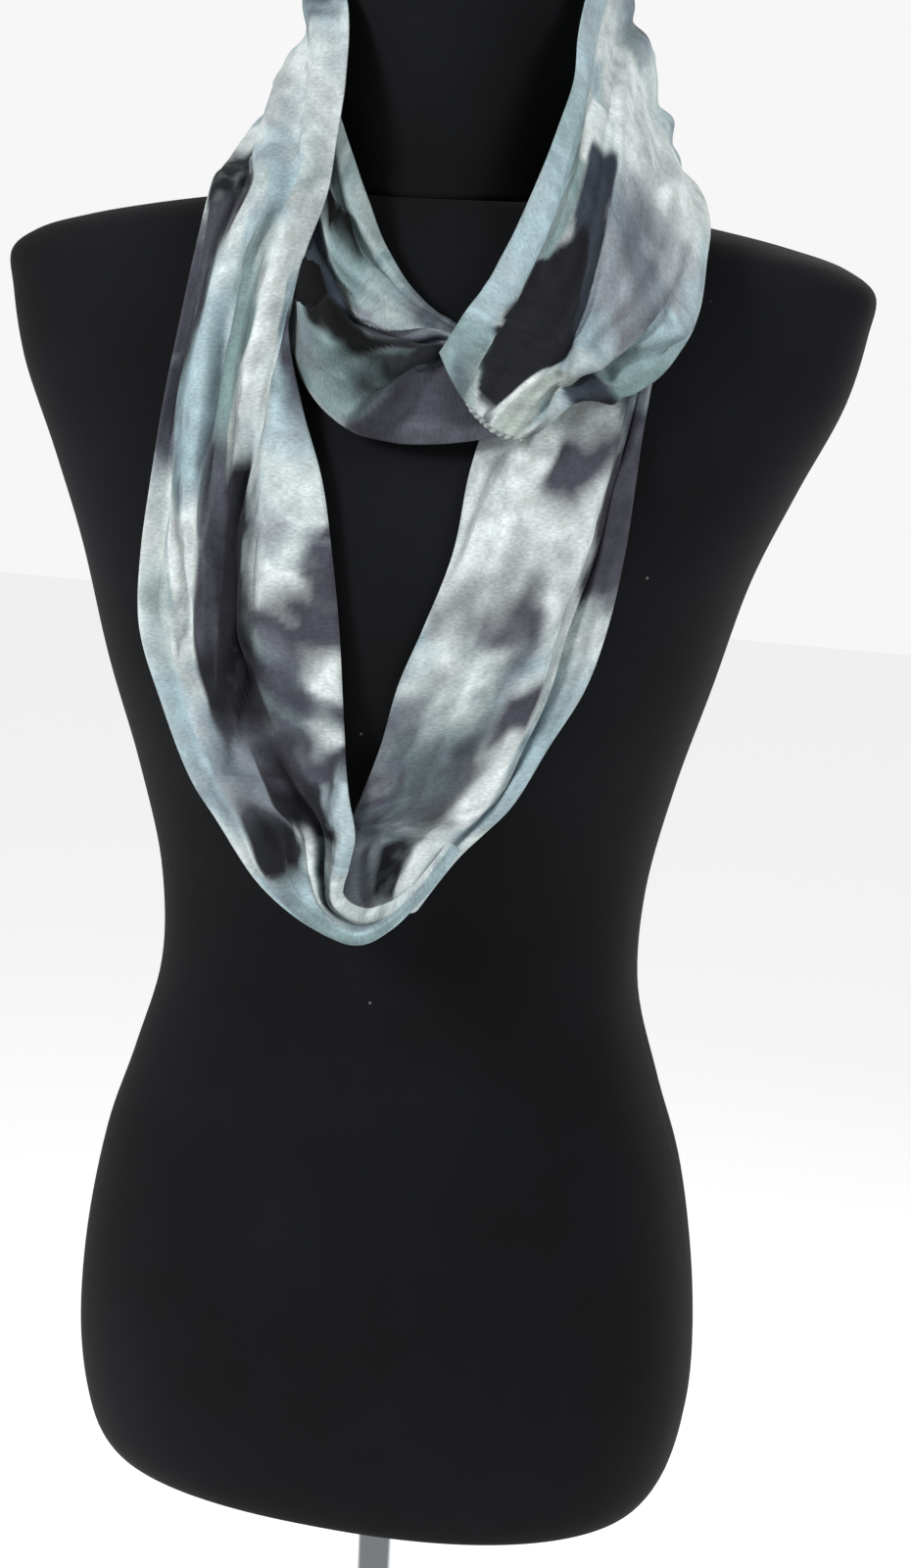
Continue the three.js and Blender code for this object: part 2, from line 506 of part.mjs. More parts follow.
const poleLength = HEM_HEIGHT - BASE_THICKNESS - 2 * SEAM_GAP;
add("stand_pole", turned([
  [0, 0], [POLE_RADIUS, 0], [POLE_RADIUS, poleLength], [0, poleLength],
], 24), chrome, 0, 0, BASE_THICKNESS + SEAM_GAP);

add("stand_base", turned([
  [0, 0], [BASE_RADIUS - 2, 0], [BASE_RADIUS, 2], [BASE_RADIUS, 5], [BASE_RADIUS - 3, 7],
  [POLE_RADIUS + 12, BASE_THICKNESS], [0, BASE_THICKNESS],
], 56), chrome);

for (const strip of [[SHORT_FRONT, NECK_INNER, LONG_RIGHT], [LONG_BOTTOM, LONG_LEFT, NECK_OUTER, SHORT_RIGHT]]) {
  const { sections, spans } = sectionsOf(strip);
  for (const span of spans) {
    const cloth = { color: span.color, roughness: 0.85, metalness: 0, side: THREE.DoubleSide };
    add(span.name, wallGeometry(stretchGrid(sections, span), CLOTH), cloth);
  }
}

export default group;
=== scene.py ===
# Infinity scarf of tie-dyed crepe on a black dress form. Tables are in millimetres, as in the part's
# source, and every mesh is in metres: +Z up, the floor at z = 0, the chest facing -Y.
import math

import bmesh
import bpy
import numpy as np
from mathutils import Matrix, Vector, noise


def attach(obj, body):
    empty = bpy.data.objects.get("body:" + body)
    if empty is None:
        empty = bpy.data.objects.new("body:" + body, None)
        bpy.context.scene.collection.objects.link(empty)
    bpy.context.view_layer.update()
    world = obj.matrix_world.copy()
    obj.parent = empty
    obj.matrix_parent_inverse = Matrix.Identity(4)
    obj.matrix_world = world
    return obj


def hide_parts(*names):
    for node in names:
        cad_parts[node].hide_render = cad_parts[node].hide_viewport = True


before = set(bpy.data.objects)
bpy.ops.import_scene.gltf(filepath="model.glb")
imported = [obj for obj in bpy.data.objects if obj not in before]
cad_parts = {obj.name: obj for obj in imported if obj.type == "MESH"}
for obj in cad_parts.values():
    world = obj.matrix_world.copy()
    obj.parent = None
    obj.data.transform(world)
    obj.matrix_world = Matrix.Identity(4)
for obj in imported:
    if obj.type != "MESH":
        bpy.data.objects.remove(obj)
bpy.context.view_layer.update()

# Camera. It stands in front of the form and towards its left arm, as high as its neck, and looks down.
# The torso fills the picture, from the scarf's upper turns to the top of the pole.
MM = 0.001
CAMERA_PLACE = (417.2, -1283.9, 1475.1)
CAMERA_TURN = math.radians(17.02)
CAMERA_DIP = math.radians(11.95)
CAMERA_ROLL = math.radians(2.6)
FOCAL_LENGTH = 67.5


def add_camera():
    side, ahead = math.cos(CAMERA_TURN), math.sin(CAMERA_TURN)
    forward = Vector((-ahead * math.cos(CAMERA_DIP), side * math.cos(CAMERA_DIP), -math.sin(CAMERA_DIP)))
    level = Vector((side, ahead, 0))
    above = level.cross(forward)
    right = math.cos(CAMERA_ROLL) * level + math.sin(CAMERA_ROLL) * above
    up = math.cos(CAMERA_ROLL) * above - math.sin(CAMERA_ROLL) * level
    camera = bpy.data.objects.new("camera", bpy.data.cameras.new("camera"))
    camera.data.lens = FOCAL_LENGTH
    camera.data.sensor_width = 36
    camera.data.clip_end = 30
    turn = Matrix((right, up, -forward)).transposed().to_4x4()
    camera.matrix_world = Matrix.Translation(Vector(CAMERA_PLACE) * MM) @ turn
    bpy.context.scene.collection.objects.link(camera)
    bpy.context.scene.camera = camera


add_camera()

# Torso of the dress form: a padded shell under black cotton jersey, stretched tight and seamed at both
# sides. The jersey is matt, with a soft bloom of fibre ends and a little white lint on it.
HEM_HEIGHT = 850
NECK_SEAM = 1459
SEAM_GAP = 0.3
BUST_HEIGHT = 1245
TORSO_ROUNDNESS = 2.3
SIDE_SEAMS = (math.radians(8), math.radians(172))
SEAM_SPREAD = 0.012
SEAM_DEPTH = 0.006
CAP_RIM = 2.5
TORSO = [
    # height, half width, depth in front of the pole, depth behind it
    (HEM_HEIGHT, 129, 84, 84),
    (854, 136, 92, 94),
    (866, 143, 98, 100),
    (901, 150, 103, 108),
    (951, 149, 104, 110),
    (1012, 139, 98, 108),
    (1053, 126, 90, 98),
    (1098, 114, 82, 88),
    (1144, 115, 84, 84),
    (1195, 126, 98, 86),
    (1245, 141, 112, 92),
    (1296, 156, 112, 98),
    (1337, 174, 100, 101),
    (1377, 193, 84, 100),
    (1408, 201, 70, 94),
    (1426, 203, 62, 88),
    (1436, 190, 57, 84),
    (1444, 163, 53, 81),
    (1450, 133, 50, 79),
    (1455, 101, 47, 77),
    (NECK_SEAM - SEAM_GAP, 74, 44, 75),
]


def smooth(points, places):
    """The curve through rows of points, at places counted in rows; the same curve as the part's own."""
    points = np.asarray(points, float)
    ends = (2 * points[:1] - points[1:2], points, 2 * points[-1:] - points[-2:-1])
    run = np.concatenate(ends)
    row = np.clip(np.floor(places).astype(int), 0, len(points) - 2)
    share = np.asarray(places, float) - row
    p0, p1, p2, p3 = (run[row + k] for k in range(4))
    knot = [np.maximum(np.linalg.norm(b - a, axis=-1, keepdims=True) ** 0.5, 1e-6)
            for a, b in ((p0, p1), (p1, p2), (p2, p3))]
    leave = ((p1 - p0) / knot[0] - (p2 - p0) / (knot[0] + knot[1])) * knot[1] + (p2 - p1)
    arrive = ((p3 - p2) / knot[2] - (p3 - p1) / (knot[1] + knot[2])) * knot[1] + (p2 - p1)
    share = share.reshape((-1,) + (1,) * (p1.ndim - 1))
    cubic = 2 * (p1 - p2) + leave + arrive
    square = 3 * (p2 - p1) - 2 * leave - arrive
    return p1 + share * (leave + share * (square + share * cubic))


def linear(code):
    """A colour's sRGB hex code as linear RGBA."""
    channels = [int(code[i:i + 2], 16) / 255 for i in (1, 3, 5)]
    return [c / 12.92 if c <= 0.04045 else ((c + 0.055) / 1.055) ** 2.4 for c in channels] + [1.0]


def add_node(tree, kind, inputs, **settings):
    """Adds one node, with its settings and with a value or a link at each of the inputs named."""
    made = tree.nodes.new(kind)
    for name, value in settings.items():
        setattr(made, name, value)
    for name, value in inputs.items():
        if isinstance(value, bpy.types.NodeSocket):
            tree.links.new(value, made.inputs[name])
        else:
            made.inputs[name].default_value = value
    return made


def new_material(name, finish):
    """A new material, its nodes and its shader, which is given what is the same all over the surface."""
    material = bpy.data.materials.new(name)
    material.use_nodes = True
    shader = material.node_tree.nodes["Principled BSDF"]
    for socket, value in finish.items():
        shader.inputs[socket].default_value = value
    return material, material.node_tree, shader


def cloth_face(tree, shader, color, threads, strength):
    """Gives a cloth its colour and the relief of its threads, 0.6 mm high at most."""
    bump = add_node(tree, "ShaderNodeBump", {"Height": threads, "Strength": strength, "Distance": 0.0006})
    tree.links.new(color, shader.inputs["Base Color"])
    tree.links.new(bump.outputs[0], shader.inputs["Normal"])


def fill_ramp(ramp, stops):
    """Sets a colour ramp's stops from pairs of place and colour."""
    elements = ramp.color_ramp.elements
    while len(elements) < len(stops):
        elements.new(0.5)
    for element, (place, color) in zip(elements, stops):
        element.position = place
        element.color = color


def finished(name, bm, material, slot, *nodes):
    """Turns a bmesh in millimetres into a piece in metres that rides on the body."""
    bmesh.ops.scale(bm, vec=(MM, MM, MM), verts=bm.verts)
    mesh = bpy.data.meshes.new(name)
    bm.to_mesh(mesh)
    bm.free()
    mesh.shade_smooth()
    mesh.materials.append(material)
    piece = bpy.data.objects.new(name, mesh)
    bpy.context.scene.collection.objects.link(piece)
    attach(piece, "root")
    if nodes:
        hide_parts(*nodes)
    return piece


def torso_sections(rows):
    """The torso's table, drawn as smooth curves from row to row."""
    return smooth(TORSO, np.linspace(0, len(TORSO) - 1, rows))


def torso_depth(x, z):
    """How far the torso's front stands before the pole, at points x aside and z up."""
    sections = torso_sections(rows=160)
    half = np.interp(z, sections[:, 0], sections[:, 1])
    front = np.interp(z, sections[:, 0], sections[:, 2])
    across = np.clip(np.abs(x) / half, 0, 1)
    return front * (1 - across ** TORSO_ROUNDNESS) ** (1 / TORSO_ROUNDNESS)


def torso_shape():
    facets, rows = 144, 150
    sections = torso_sections(rows)
    bm = bmesh.new()
    bmesh.ops.create_cone(bm, cap_ends=True, segments=facets, radius1=1, radius2=1, depth=1)
    upright = [edge for edge in bm.edges if abs(edge.verts[0].co.z - edge.verts[1].co.z) > 0.5]
    bmesh.ops.subdivide_edges(bm, edges=upright, cuts=rows - 2)
    power = 2 / TORSO_ROUNDNESS
    for vert in bm.verts:
        z, half, front, back = sections[round((vert.co.z + 0.5) * (rows - 1))]
        angle = math.atan2(vert.co.y, vert.co.x)
        wide, deep = (math.copysign(abs(part) ** power, part) for part in (math.cos(angle), math.sin(angle)))
        pinch = 1 - SEAM_DEPTH * sum(math.exp(-((angle - seam) / SEAM_SPREAD) ** 2) for seam in SIDE_SEAMS)
        vert.co = (half * wide * pinch, (front if deep < 0 else back) * deep * pinch, z)
    caps = [face for face in bm.faces if len(face.verts) > 4]
    bmesh.ops.inset_region(bm, faces=caps, thickness=CAP_RIM, use_even_offset=True)
    return bm


def jersey_material():
    """Black cotton jersey: a fine knit that takes the light softly, with faint lint on it."""
    material, tree, shader = new_material("black cotton jersey, knitted and stretched", {
        "Roughness": 0.92, "Specular IOR Level": 0.1, "Sheen Weight": 0.04, "Sheen Roughness": 0.45})
    place = add_node(tree, "ShaderNodeTexCoord", {}).outputs["Object"]
    # The knit's loops are about 0.8 mm wide. They are drawn 1.6 mm wide and 2.5 mm high so that they show.
    loops = add_node(tree, "ShaderNodeMapping", {"Vector": place, "Scale": (620, 620, 400)}).outputs[0]
    knit = add_node(tree, "ShaderNodeTexNoise", {"Vector": loops, "Scale": 1.0, "Detail": 2.0})
    cloud = add_node(tree, "ShaderNodeTexNoise", {"Vector": place, "Scale": 9.0, "Detail": 4.0})
    # Lint: a speck of 1.3 mm at most in one of fourteen cells, which are 14 mm wide.
    cells = add_node(tree, "ShaderNodeTexVoronoi", {"Vector": place, "Scale": 70.0})
    near = add_node(tree, "ShaderNodeMath", {0: cells.outputs["Distance"], 1: 0.045}, operation="LESS_THAN")
    luck = add_node(tree, "ShaderNodeSeparateColor", {"Color": cells.outputs["Color"]})
    chosen = add_node(tree, "ShaderNodeMath", {0: luck.outputs[0], 1: 0.93}, operation="GREATER_THAN")
    lint = add_node(tree, "ShaderNodeMath", {0: near.outputs[0], 1: chosen.outputs[0]}, operation="MULTIPLY")
    lint = add_node(tree, "ShaderNodeMath", {0: lint.outputs[0], 1: 0.35}, operation="MULTIPLY")
    dark = add_node(tree, "ShaderNodeValToRGB", {"Fac": cloud.outputs[0]})
    fill_ramp(dark, [(0.3, linear("#0D0E0F")), (0.75, linear("#16171A"))])
    flecked = add_node(tree, "ShaderNodeMix", {0: lint.outputs[0], 6: dark.outputs[0],
                                               7: linear("#9A9C9C")}, data_type="RGBA")
    cloth_face(tree, shader, flecked.outputs[2], knit.outputs[0], 0.35)
    return material


jersey = jersey_material()
finished("torso", torso_shape(), jersey, "form_jersey", "form_torso")


# Neck of the dress form: a turned block under the same jersey, closed on top, that stands a little behind
# the pole and to one side. Its jersey flares a little at the foot, where it meets the torso's cover.
NECK_X, NECK_Y = 6, 14
NECK_RADIUS = 56
NECK_TOP = 1590
NECK_ROUNDING = 8
ROUNDING_STEPS = 8
NECK_FLARE = 2.0
FLARE_HEIGHT = 12


def turned(profile, steps):
    """A piece turned on the Z axis, from pairs of radius and height that start and end on the axis."""
    bm = bmesh.new()
    line = [bm.verts.new((radius, 0, height)) for radius, height in profile]
    edges = [bm.edges.new(pair) for pair in zip(line, line[1:])]
    bmesh.ops.spin(bm, geom=line + edges, angle=math.tau, steps=steps, axis=(0, 0, 1), cent=(0, 0, 0),
                   use_merge=True, use_duplicate=False)
    bmesh.ops.remove_doubles(bm, verts=bm.verts, dist=0.001)
    bmesh.ops.recalc_face_normals(bm, faces=bm.faces)
    return bm


def neck_shape():
    quarter = [k * math.pi / (2 * ROUNDING_STEPS) for k in range(ROUNDING_STEPS, -1, -1)]
    top = [(NECK_RADIUS - NECK_ROUNDING * (1 - math.sin(angle)),
            NECK_TOP - NECK_ROUNDING * (1 - math.cos(angle))) for angle in quarter]
    foot = [(NECK_RADIUS + NECK_FLARE - NECK_FLARE * k / FLARE_HEIGHT, NECK_SEAM + k)
            for k in range(0, FLARE_HEIGHT + 1, 3)]
    bm = turned([(0, NECK_SEAM)] + foot + top + [(0, NECK_TOP)], steps=96)
    bmesh.ops.translate(bm, vec=(NECK_X, NECK_Y, 0), verts=bm.verts)
    return bm


finished("neck", neck_shape(), jersey, "form_jersey", "form_neck")


# Pole and base: a chromed steel tube that screws into a chromed round base, spun with a low crown.
# The polish mirrors the pale room.
POLE_RADIUS = 8
POLE_BEVEL = 0.5
BASE_RADIUS = 175
BASE_THICKNESS = 12


def chrome_material():
    """Chromed steel: a mirror with faint fine scratches, a little softer than glass."""
    material, tree, shader = new_material("chromed steel, polished", {
        "Base Color": linear("#C9CCD0"), "Metallic": 1.0})
    place = add_node(tree, "ShaderNodeTexCoord", {}).outputs["Object"]
    along = add_node(tree, "ShaderNodeMapping", {"Vector": place, "Scale": (400, 400, 30)}).outputs[0]
    haze = add_node(tree, "ShaderNodeTexNoise", {"Vector": along, "Scale": 1.0, "Detail": 3.0})
    rough = add_node(tree, "ShaderNodeMapRange", {"Value": haze.outputs[0], "To Min": 0.08, "To Max": 0.2})
    tree.links.new(rough.outputs[0], shader.inputs["Roughness"])
    return material


chrome = chrome_material()
pole_foot, pole_top = BASE_THICKNESS + SEAM_GAP, HEM_HEIGHT - SEAM_GAP
finished("pole", turned([
    (0, pole_foot), (POLE_RADIUS - POLE_BEVEL, pole_foot), (POLE_RADIUS, pole_foot + POLE_BEVEL),
    (POLE_RADIUS, pole_top - POLE_BEVEL), (POLE_RADIUS - POLE_BEVEL, pole_top), (0, pole_top),
], steps=64), chrome, "stand_chrome", "stand_pole")
finished("base", turned([
    (0, 0), (BASE_RADIUS - 2, 0), (BASE_RADIUS - 0.6, 0.6), (BASE_RADIUS, 2), (BASE_RADIUS, 5),
    (BASE_RADIUS - 0.8, 6.3), (BASE_RADIUS - 3, 7), (BASE_RADIUS - 60, 9.4), (POLE_RADIUS + 14, 11.8),
    (POLE_RADIUS + 12, BASE_THICKNESS), (0, BASE_THICKNESS),
], steps=128), chrome, "stand_chrome", "stand_base")


# The scarf: one strip of crepe, closed into a loop with a cross seam and wound twice round the neck.
# It is laid here in two runs, each as long as the cloth that shows between two places where it dives
# under itself: the short turn's front with the inner pass and the right side, and all the rest.
CLOTH = 0.7
STEPS_ALONG = 12
STEPS_ACROSS = 8
FOLD_DEPTH = 1.3
LAP_WIDTH = 1.3


def chest(x, z, out):
    """A point on the torso's front, moved out. Below the bust the cloth hangs straight down."""
    return (x, -float(torso_depth(x, max(z, BUST_HEIGHT))) - out, z)


def collar(turn, radius, z):
    """A point round the neck: turn in degrees from the front, + to the left arm's side."""
    angle = math.radians(turn)
    return (NECK_X + radius * math.sin(angle), NECK_Y - radius * math.cos(angle), z)


def free(x, y, z):
    return (x, y, z)


# Each stretch of the strip has rows and folds. A row gives the low (outer) and the top (inner) edge of one
# cross-section, how far its middle bows out and, where it sags, how far. A fold line gives its share of the
# way across and its rise out of the section, at places counted in rows. A stretch that follows another
# starts at that one's last row, its place 0.
short_front = {
    "rows": [
        (chest(84, 1369, 11), chest(58, 1399, 10), 0),
        (chest(62, 1362, 11), chest(49, 1404, 10), 1),
        (chest(38, 1358, 11), chest(38, 1408, 9), 3),
        (chest(16, 1358, 11), chest(22, 1417, 9), 5),
        (chest(-7, 1365, 10), chest(3, 1436, 8), 5),
        (chest(-26, 1380, 7), free(-13, -57, 1464), 4),
        (chest(-38, 1400, 4.5), free(-25, -49, 1487), 3),
        (chest(-55, 1424, 4), free(-38, -32, 1505), 5),
        (free(-68, -55, 1452), free(-48, -16, 1514), 6),
        (collar(-76, 86, 1465), collar(-88, 60, 1520), 3),
    ],
    "stations": [0, 2, 3.5, 5, 6, 9],
    "folds": [
        ("lower edge", [0, 0, 0, 0, 0, 0], [0, 0, -1, -1, 0, 0]),
        ("flap, lower", [0.1, 0.2, 0.09, 0.06, 0.07, 0.08], [0, 2, 3, 2, 1, 1]),
        ("flap, edge", [0.22, 0.55, 0.22, 0.12, 0.14, 0.17], [0, 3, 6, 4, 1, 0]),
        ("flap, groove", [0.3, 0.68, 0.27, 0.17, 0.2, 0.25], [0, 1, 1, 5, 2, -1]),
        ("big fold, belly", [0.42, 0.74, 0.45, 0.23, 0.27, 0.33], [1, 2, 6, 6, 2, 0]),
        ("big fold, ridge", [0.5, 0.8, 0.6, 0.3, 0.33, 0.42], [0, 2, 6, 5, 2, 1]),
        ("tube, lower groove", [0.58, 0.83, 0.64, 0.37, 0.42, 0.5], [0, 0, 0, -2, -1, -1]),
        ("tube, ridge", [0.66, 0.87, 0.7, 0.45, 0.5, 0.58], [0, 1, 3, 3, 1, 0]),
        ("hem groove", [0.73, 0.9, 0.77, 0.54, 0.59, 0.66], [0, 0, 0, -2, -1, -1]),
        ("second strip", [0.8, 0.94, 0.86, 0.66, 0.68, 0.74], [1, 1, 3, 4, 2, 1]),
        ("dark gap", [0.87, 0.96, 0.92, 0.78, 0.79, 0.83], [0, 0, 0, -3, -2, -1]),
        ("first strip", [0.94, 0.98, 0.97, 0.9, 0.9, 0.92], [0, 1, 2, 3, 2, 1]),
        ("upper edge", [1, 1, 1, 1, 1, 1], [0, 0, 0, 0, 0, 0]),
    ],
}

neck_inner = {
    "rows": [
        (collar(-102, 84, 1469), collar(-108, 59.5, 1527), 2),
        (collar(-130, 80, 1474), collar(-132, 59.5, 1532), 2),
        (collar(-165, 78, 1479), collar(-165, 59.5, 1535), 2),
        (collar(-200, 78, 1478), collar(-198, 59.5, 1534), 2),
        (collar(-235, 82, 1472), collar(-230, 60, 1528), 2),
        (collar(-264, 87, 1467), collar(-262, 60, 1518), 2),
    ],
    "stations": [2.5, 6],
    "folds": [
        ("", [0, 0], [0, 0]),
        ("", [0.07, 0.06], [1.5, 1]),
        ("", [0.17, 0.13], [-1, -1]),
        ("", [0.26, 0.21], [2, 1]),
        ("", [0.34, 0.27], [-1.5, -1]),
        ("", [0.42, 0.34], [1.5, 1]),
        ("", [0.52, 0.45], [-1, 0]),
        ("", [0.6, 0.55], [2, 1.5]),
        ("", [0.68, 0.65], [-1, 0]),
        ("", [0.76, 0.74], [1.5, 1]),
        ("", [0.85, 0.83], [-1, -1]),
        ("", [0.93, 0.92], [1, 0.5]),
        ("", [1, 1], [0, 0]),
    ],
}

long_right = {
    "rows": [
        (collar(74, 104, 1465), collar(74, 65, 1492), 2),
        (free(119, -54, 1448), free(70, -58, 1457), 3),
        (chest(124, 1420, 5), chest(74, 1425, 4), 2),
        (chest(124, 1393, 4), chest(67, 1393, 4), 2),
        (chest(122.5, 1366, 3), chest(58, 1368, 4), 3),
        (chest(121.5, 1345, 3), chest(54, 1346, 4), 4),
        (chest(120, 1318, 4), chest(52, 1315, 4), 5),
        (chest(115, 1285, 5), chest(42, 1282, 4), 6),
        (chest(107, 1258, 5), chest(32, 1256, 4), 6),
        (chest(94, 1233, 4), chest(25, 1229, 3), 5),
        (chest(81, 1207, 4), chest(17, 1206, 2), 4),
        (chest(70, 1194, 4), chest(11, 1191, 1), 3),
        (chest(61, 1184, 4), chest(9, 1178, 1), 2),
        (chest(53, 1173, 3), chest(10, 1163, 2), 1),
        (chest(43, 1158, 2), chest(17, 1147, 2), 0),
    ],
    "stations": [1, 4.5, 8, 11, 15],
    "folds": [
        ("outer edge", [0, 0, 0, 0, 0], [0, 0, 0, 0, 0]),
        ("side strip", [0.05, 0.03, 0.07, 0.04, 0.06], [1, 2, 2, 2, 1]),
        ("side strip", [0.1, 0.06, 0.15, 0.08, 0.12], [1, 1, 2, 2, 1]),
        ("side crease", [0.15, 0.1, 0.22, 0.12, 0.18], [0, -2, -2, -1, 0]),
        ("panel ridge", [0.2, 0.14, 0.26, 0.16, 0.26], [1, 3, 3, 4, 3]),
        ("panel", [0.28, 0.25, 0.35, 0.26, 0.34], [0, 1, 2, 3, 2]),
        ("panel", [0.37, 0.37, 0.46, 0.38, 0.42], [0, 2, 0, 0, -1]),
        ("panel", [0.47, 0.48, 0.56, 0.5, 0.5], [0, 0, 2, 2, -2]),
        ("panel", [0.57, 0.58, 0.66, 0.61, 0.6], [0, 1, 1, 0, -2]),
        ("flap ridge", [0.67, 0.67, 0.76, 0.72, 0.7], [0, 2, 2, 1, -2]),
        ("flap crease", [0.78, 0.74, 0.84, 0.82, 0.8], [0, -2, 0, 0, -2]),
        ("flap", [0.9, 0.88, 0.92, 0.91, 0.9], [0, -1, 0, 1, -1]),
        ("inner edge", [1, 1, 1, 1, 1], [0, -1, 0, 0, 0]),
    ],
}

long_bottom = {
    "rows": [
        (chest(63, 1187.5, 11), chest(58.5, 1192, 12), 0),
        (chest(55, 1175, 11), chest(51, 1181, 12), 0.5),
        (chest(46, 1163, 10), chest(43.5, 1170.5, 12), 1),
        (chest(34, 1150, 9), chest(33, 1162.5, 12), 1),
        (chest(20, 1142, 8), chest(22.5, 1159.5, 12), 2),
        (chest(-3, 1148, 8), chest(14.5, 1164.5, 12), 3),
        (chest(-27, 1163, 7), chest(16.5, 1177, 12), 3),
    ],
    "stations": [0, 2, 3, 4, 6],
    "folds": [
        ("outer edge", [0, 0, 0, 0, 0], [0, 0, 0, 0, 0]),
        ("crescent", [0.07, 0.06, 0.05, 0.05, 0.05], [0, 0, 0.3, 1, 1]),
        ("crescent", [0.14, 0.12, 0.1, 0.1, 0.12], [0, 0, 0.5, 2, -1]),
        ("crescent", [0.21, 0.19, 0.16, 0.16, 0.21], [0, 0, 0.7, 2, 1]),
        ("crescent", [0.29, 0.26, 0.22, 0.22, 0.3], [0, 0, 0.7, 2.5, 0]),
        ("crescent", [0.37, 0.34, 0.28, 0.28, 0.38], [0, 0, 0.7, 2.5, -1]),
        ("crescent", [0.45, 0.42, 0.34, 0.34, 0.46], [0, 0, 0.5, 2, 0]),
        ("cream ridge", [0.53, 0.5, 0.4, 0.4, 0.55], [0, 0, 0.3, 1.5, 3]),
        ("cream ridge", [0.62, 0.58, 0.47, 0.46, 0.64], [0, 0, 0, 0, 2]),
        ("dark groove", [0.71, 0.66, 0.54, 0.53, 0.73], [0, 0, -0.2, -1, -3]),
        ("ring", [0.8, 0.75, 0.66, 0.65, 0.82], [0, 0, 0, 1, 3]),
        ("ring", [0.9, 0.87, 0.84, 0.83, 0.92], [0, 0, 0.3, 2, 4]),
        ("inner edge", [1, 1, 1, 1, 1], [0, 0, 0, 0, 2]),
    ],
}

long_left = {
    "rows": [
        (chest(-50, 1189, 6), chest(18.5, 1191, 10), 3),
        (chest(-64, 1204, 5), chest(14, 1210, 9), 4),
        (chest(-82, 1236, 5.5), chest(10, 1242, 8), 7),
        (chest(-94, 1268, 6), chest(6, 1279, 6), 8),
        (chest(-94, 1301, 5.5), chest(0, 1310, 6), 8),
        (chest(-92, 1335, 5), chest(-9, 1340, 7), 6),
        (chest(-89, 1369, 7), chest(-23, 1371, 10), 6),
        (chest(-86, 1402, 10), chest(-33, 1404, 18), 5),
        (chest(-85, 1430, 12), chest(-32, 1433, 22), 5),
        (free(-84, -55, 1459), free(-26, -74, 1459), 5),
        (collar(-72, 104, 1466), free(-24, -68, 1482), 8),
        (collar(-84, 104, 1469), free(-23, -60, 1508), 7),
        (collar(-96, 103, 1470), collar(-32, 66, 1540), 7),
        (collar(-110, 101, 1471), collar(-60, 60, 1559), 6),
    ],
    "stations": [1, 3, 4, 5, 6, 7, 8, 9, 10, 14],
    "folds": [
        ("outer edge",
         [0, 0, 0, 0, 0, 0, 0, 0, 0, 0],
         [0, 0, 0, 0, 0, 0, 0, 0, 0, 0]),
        ("pale rim",
         [0.06, 0.05, 0.05, 0.04, 0.03, 0.03, 0.03, 0.04, 0.04, 0.06],
         [1.5, 2, 2, 2, 2, 2, 2, 1.5, 1, 1.5]),
        ("outer groove",
         [0.14, 0.13, 0.15, 0.16, 0.09, 0.08, 0.12, 0.13, 0.12, 0.15],
         [-1, -1, -3, -3, -2, -2, -2, -1, -0.5, -1]),
        ("teardrop ridge",
         [0.24, 0.2, 0.24, 0.22, 0.16, 0.14, 0.2, 0.24, 0.19, 0.25],
         [1, 2, 3, 3, 0, 0, 0, 1, 1, 2]),
        ("broad fold, left",
         [0.36, 0.28, 0.29, 0.3, 0.25, 0.24, 0.3, 0.33, 0.34, 0.35],
         [-1, 0, 0, 4, 4, 4, 4, 3, -2, -1]),
        ("broad fold, right",
         [0.46, 0.34, 0.34, 0.35, 0.33, 0.38, 0.38, 0.43, 0.45, 0.45],
         [-2, -1, 0, 0, 3, 4, 4, 3, 0, 2]),
        ("teal groove",
         [0.55, 0.42, 0.4, 0.4, 0.38, 0.43, 0.46, 0.54, 0.6, 0.55],
         [-1, -1, -1, 0, -2, -2, -1, 3, 3, 1]),
        ("white fold, left",
         [0.62, 0.48, 0.46, 0.46, 0.47, 0.54, 0.69, 0.64, 0.78, 0.66],
         [4, 0, 0, 0, 0, 1, 2, -2, -2, -2]),
        ("white fold, right",
         [0.7, 0.54, 0.5, 0.52, 0.56, 0.65, 0.81, 0.87, 0.9, 0.8],
         [2, 0, -2, -1, 3, 4, 4, 4, 4, 3]),
        ("tuck",
         [0.78, 0.6, 0.54, 0.56, 0.61, 0.71, 0.87, 0.92, 0.94, 0.86],
         [-2, 0, -4, -4, -2, 0, 2, 3, 3, 1]),
        ("inner panel, left",
         [0.84, 0.67, 0.59, 0.61, 0.66, 0.77, 0.92, 0.95, 0.965, 0.91],
         [4, 3, 2, 2, 1, -1, 0, 1, 0.5, -1]),
        ("inner panel",
         [0.91, 0.83, 0.78, 0.8, 0.82, 0.87, 0.96, 0.975, 0.98, 0.955],
         [5, 4, 4, 3, 2, 0, -1, -1, -2, -1]),
        ("inner edge",
         [1, 1, 1, 1, 1, 1, 1, 1, 1, 1],
         [3, 1, 0, 0, 0, 0, -1, -3, -4, 0]),
    ],
}

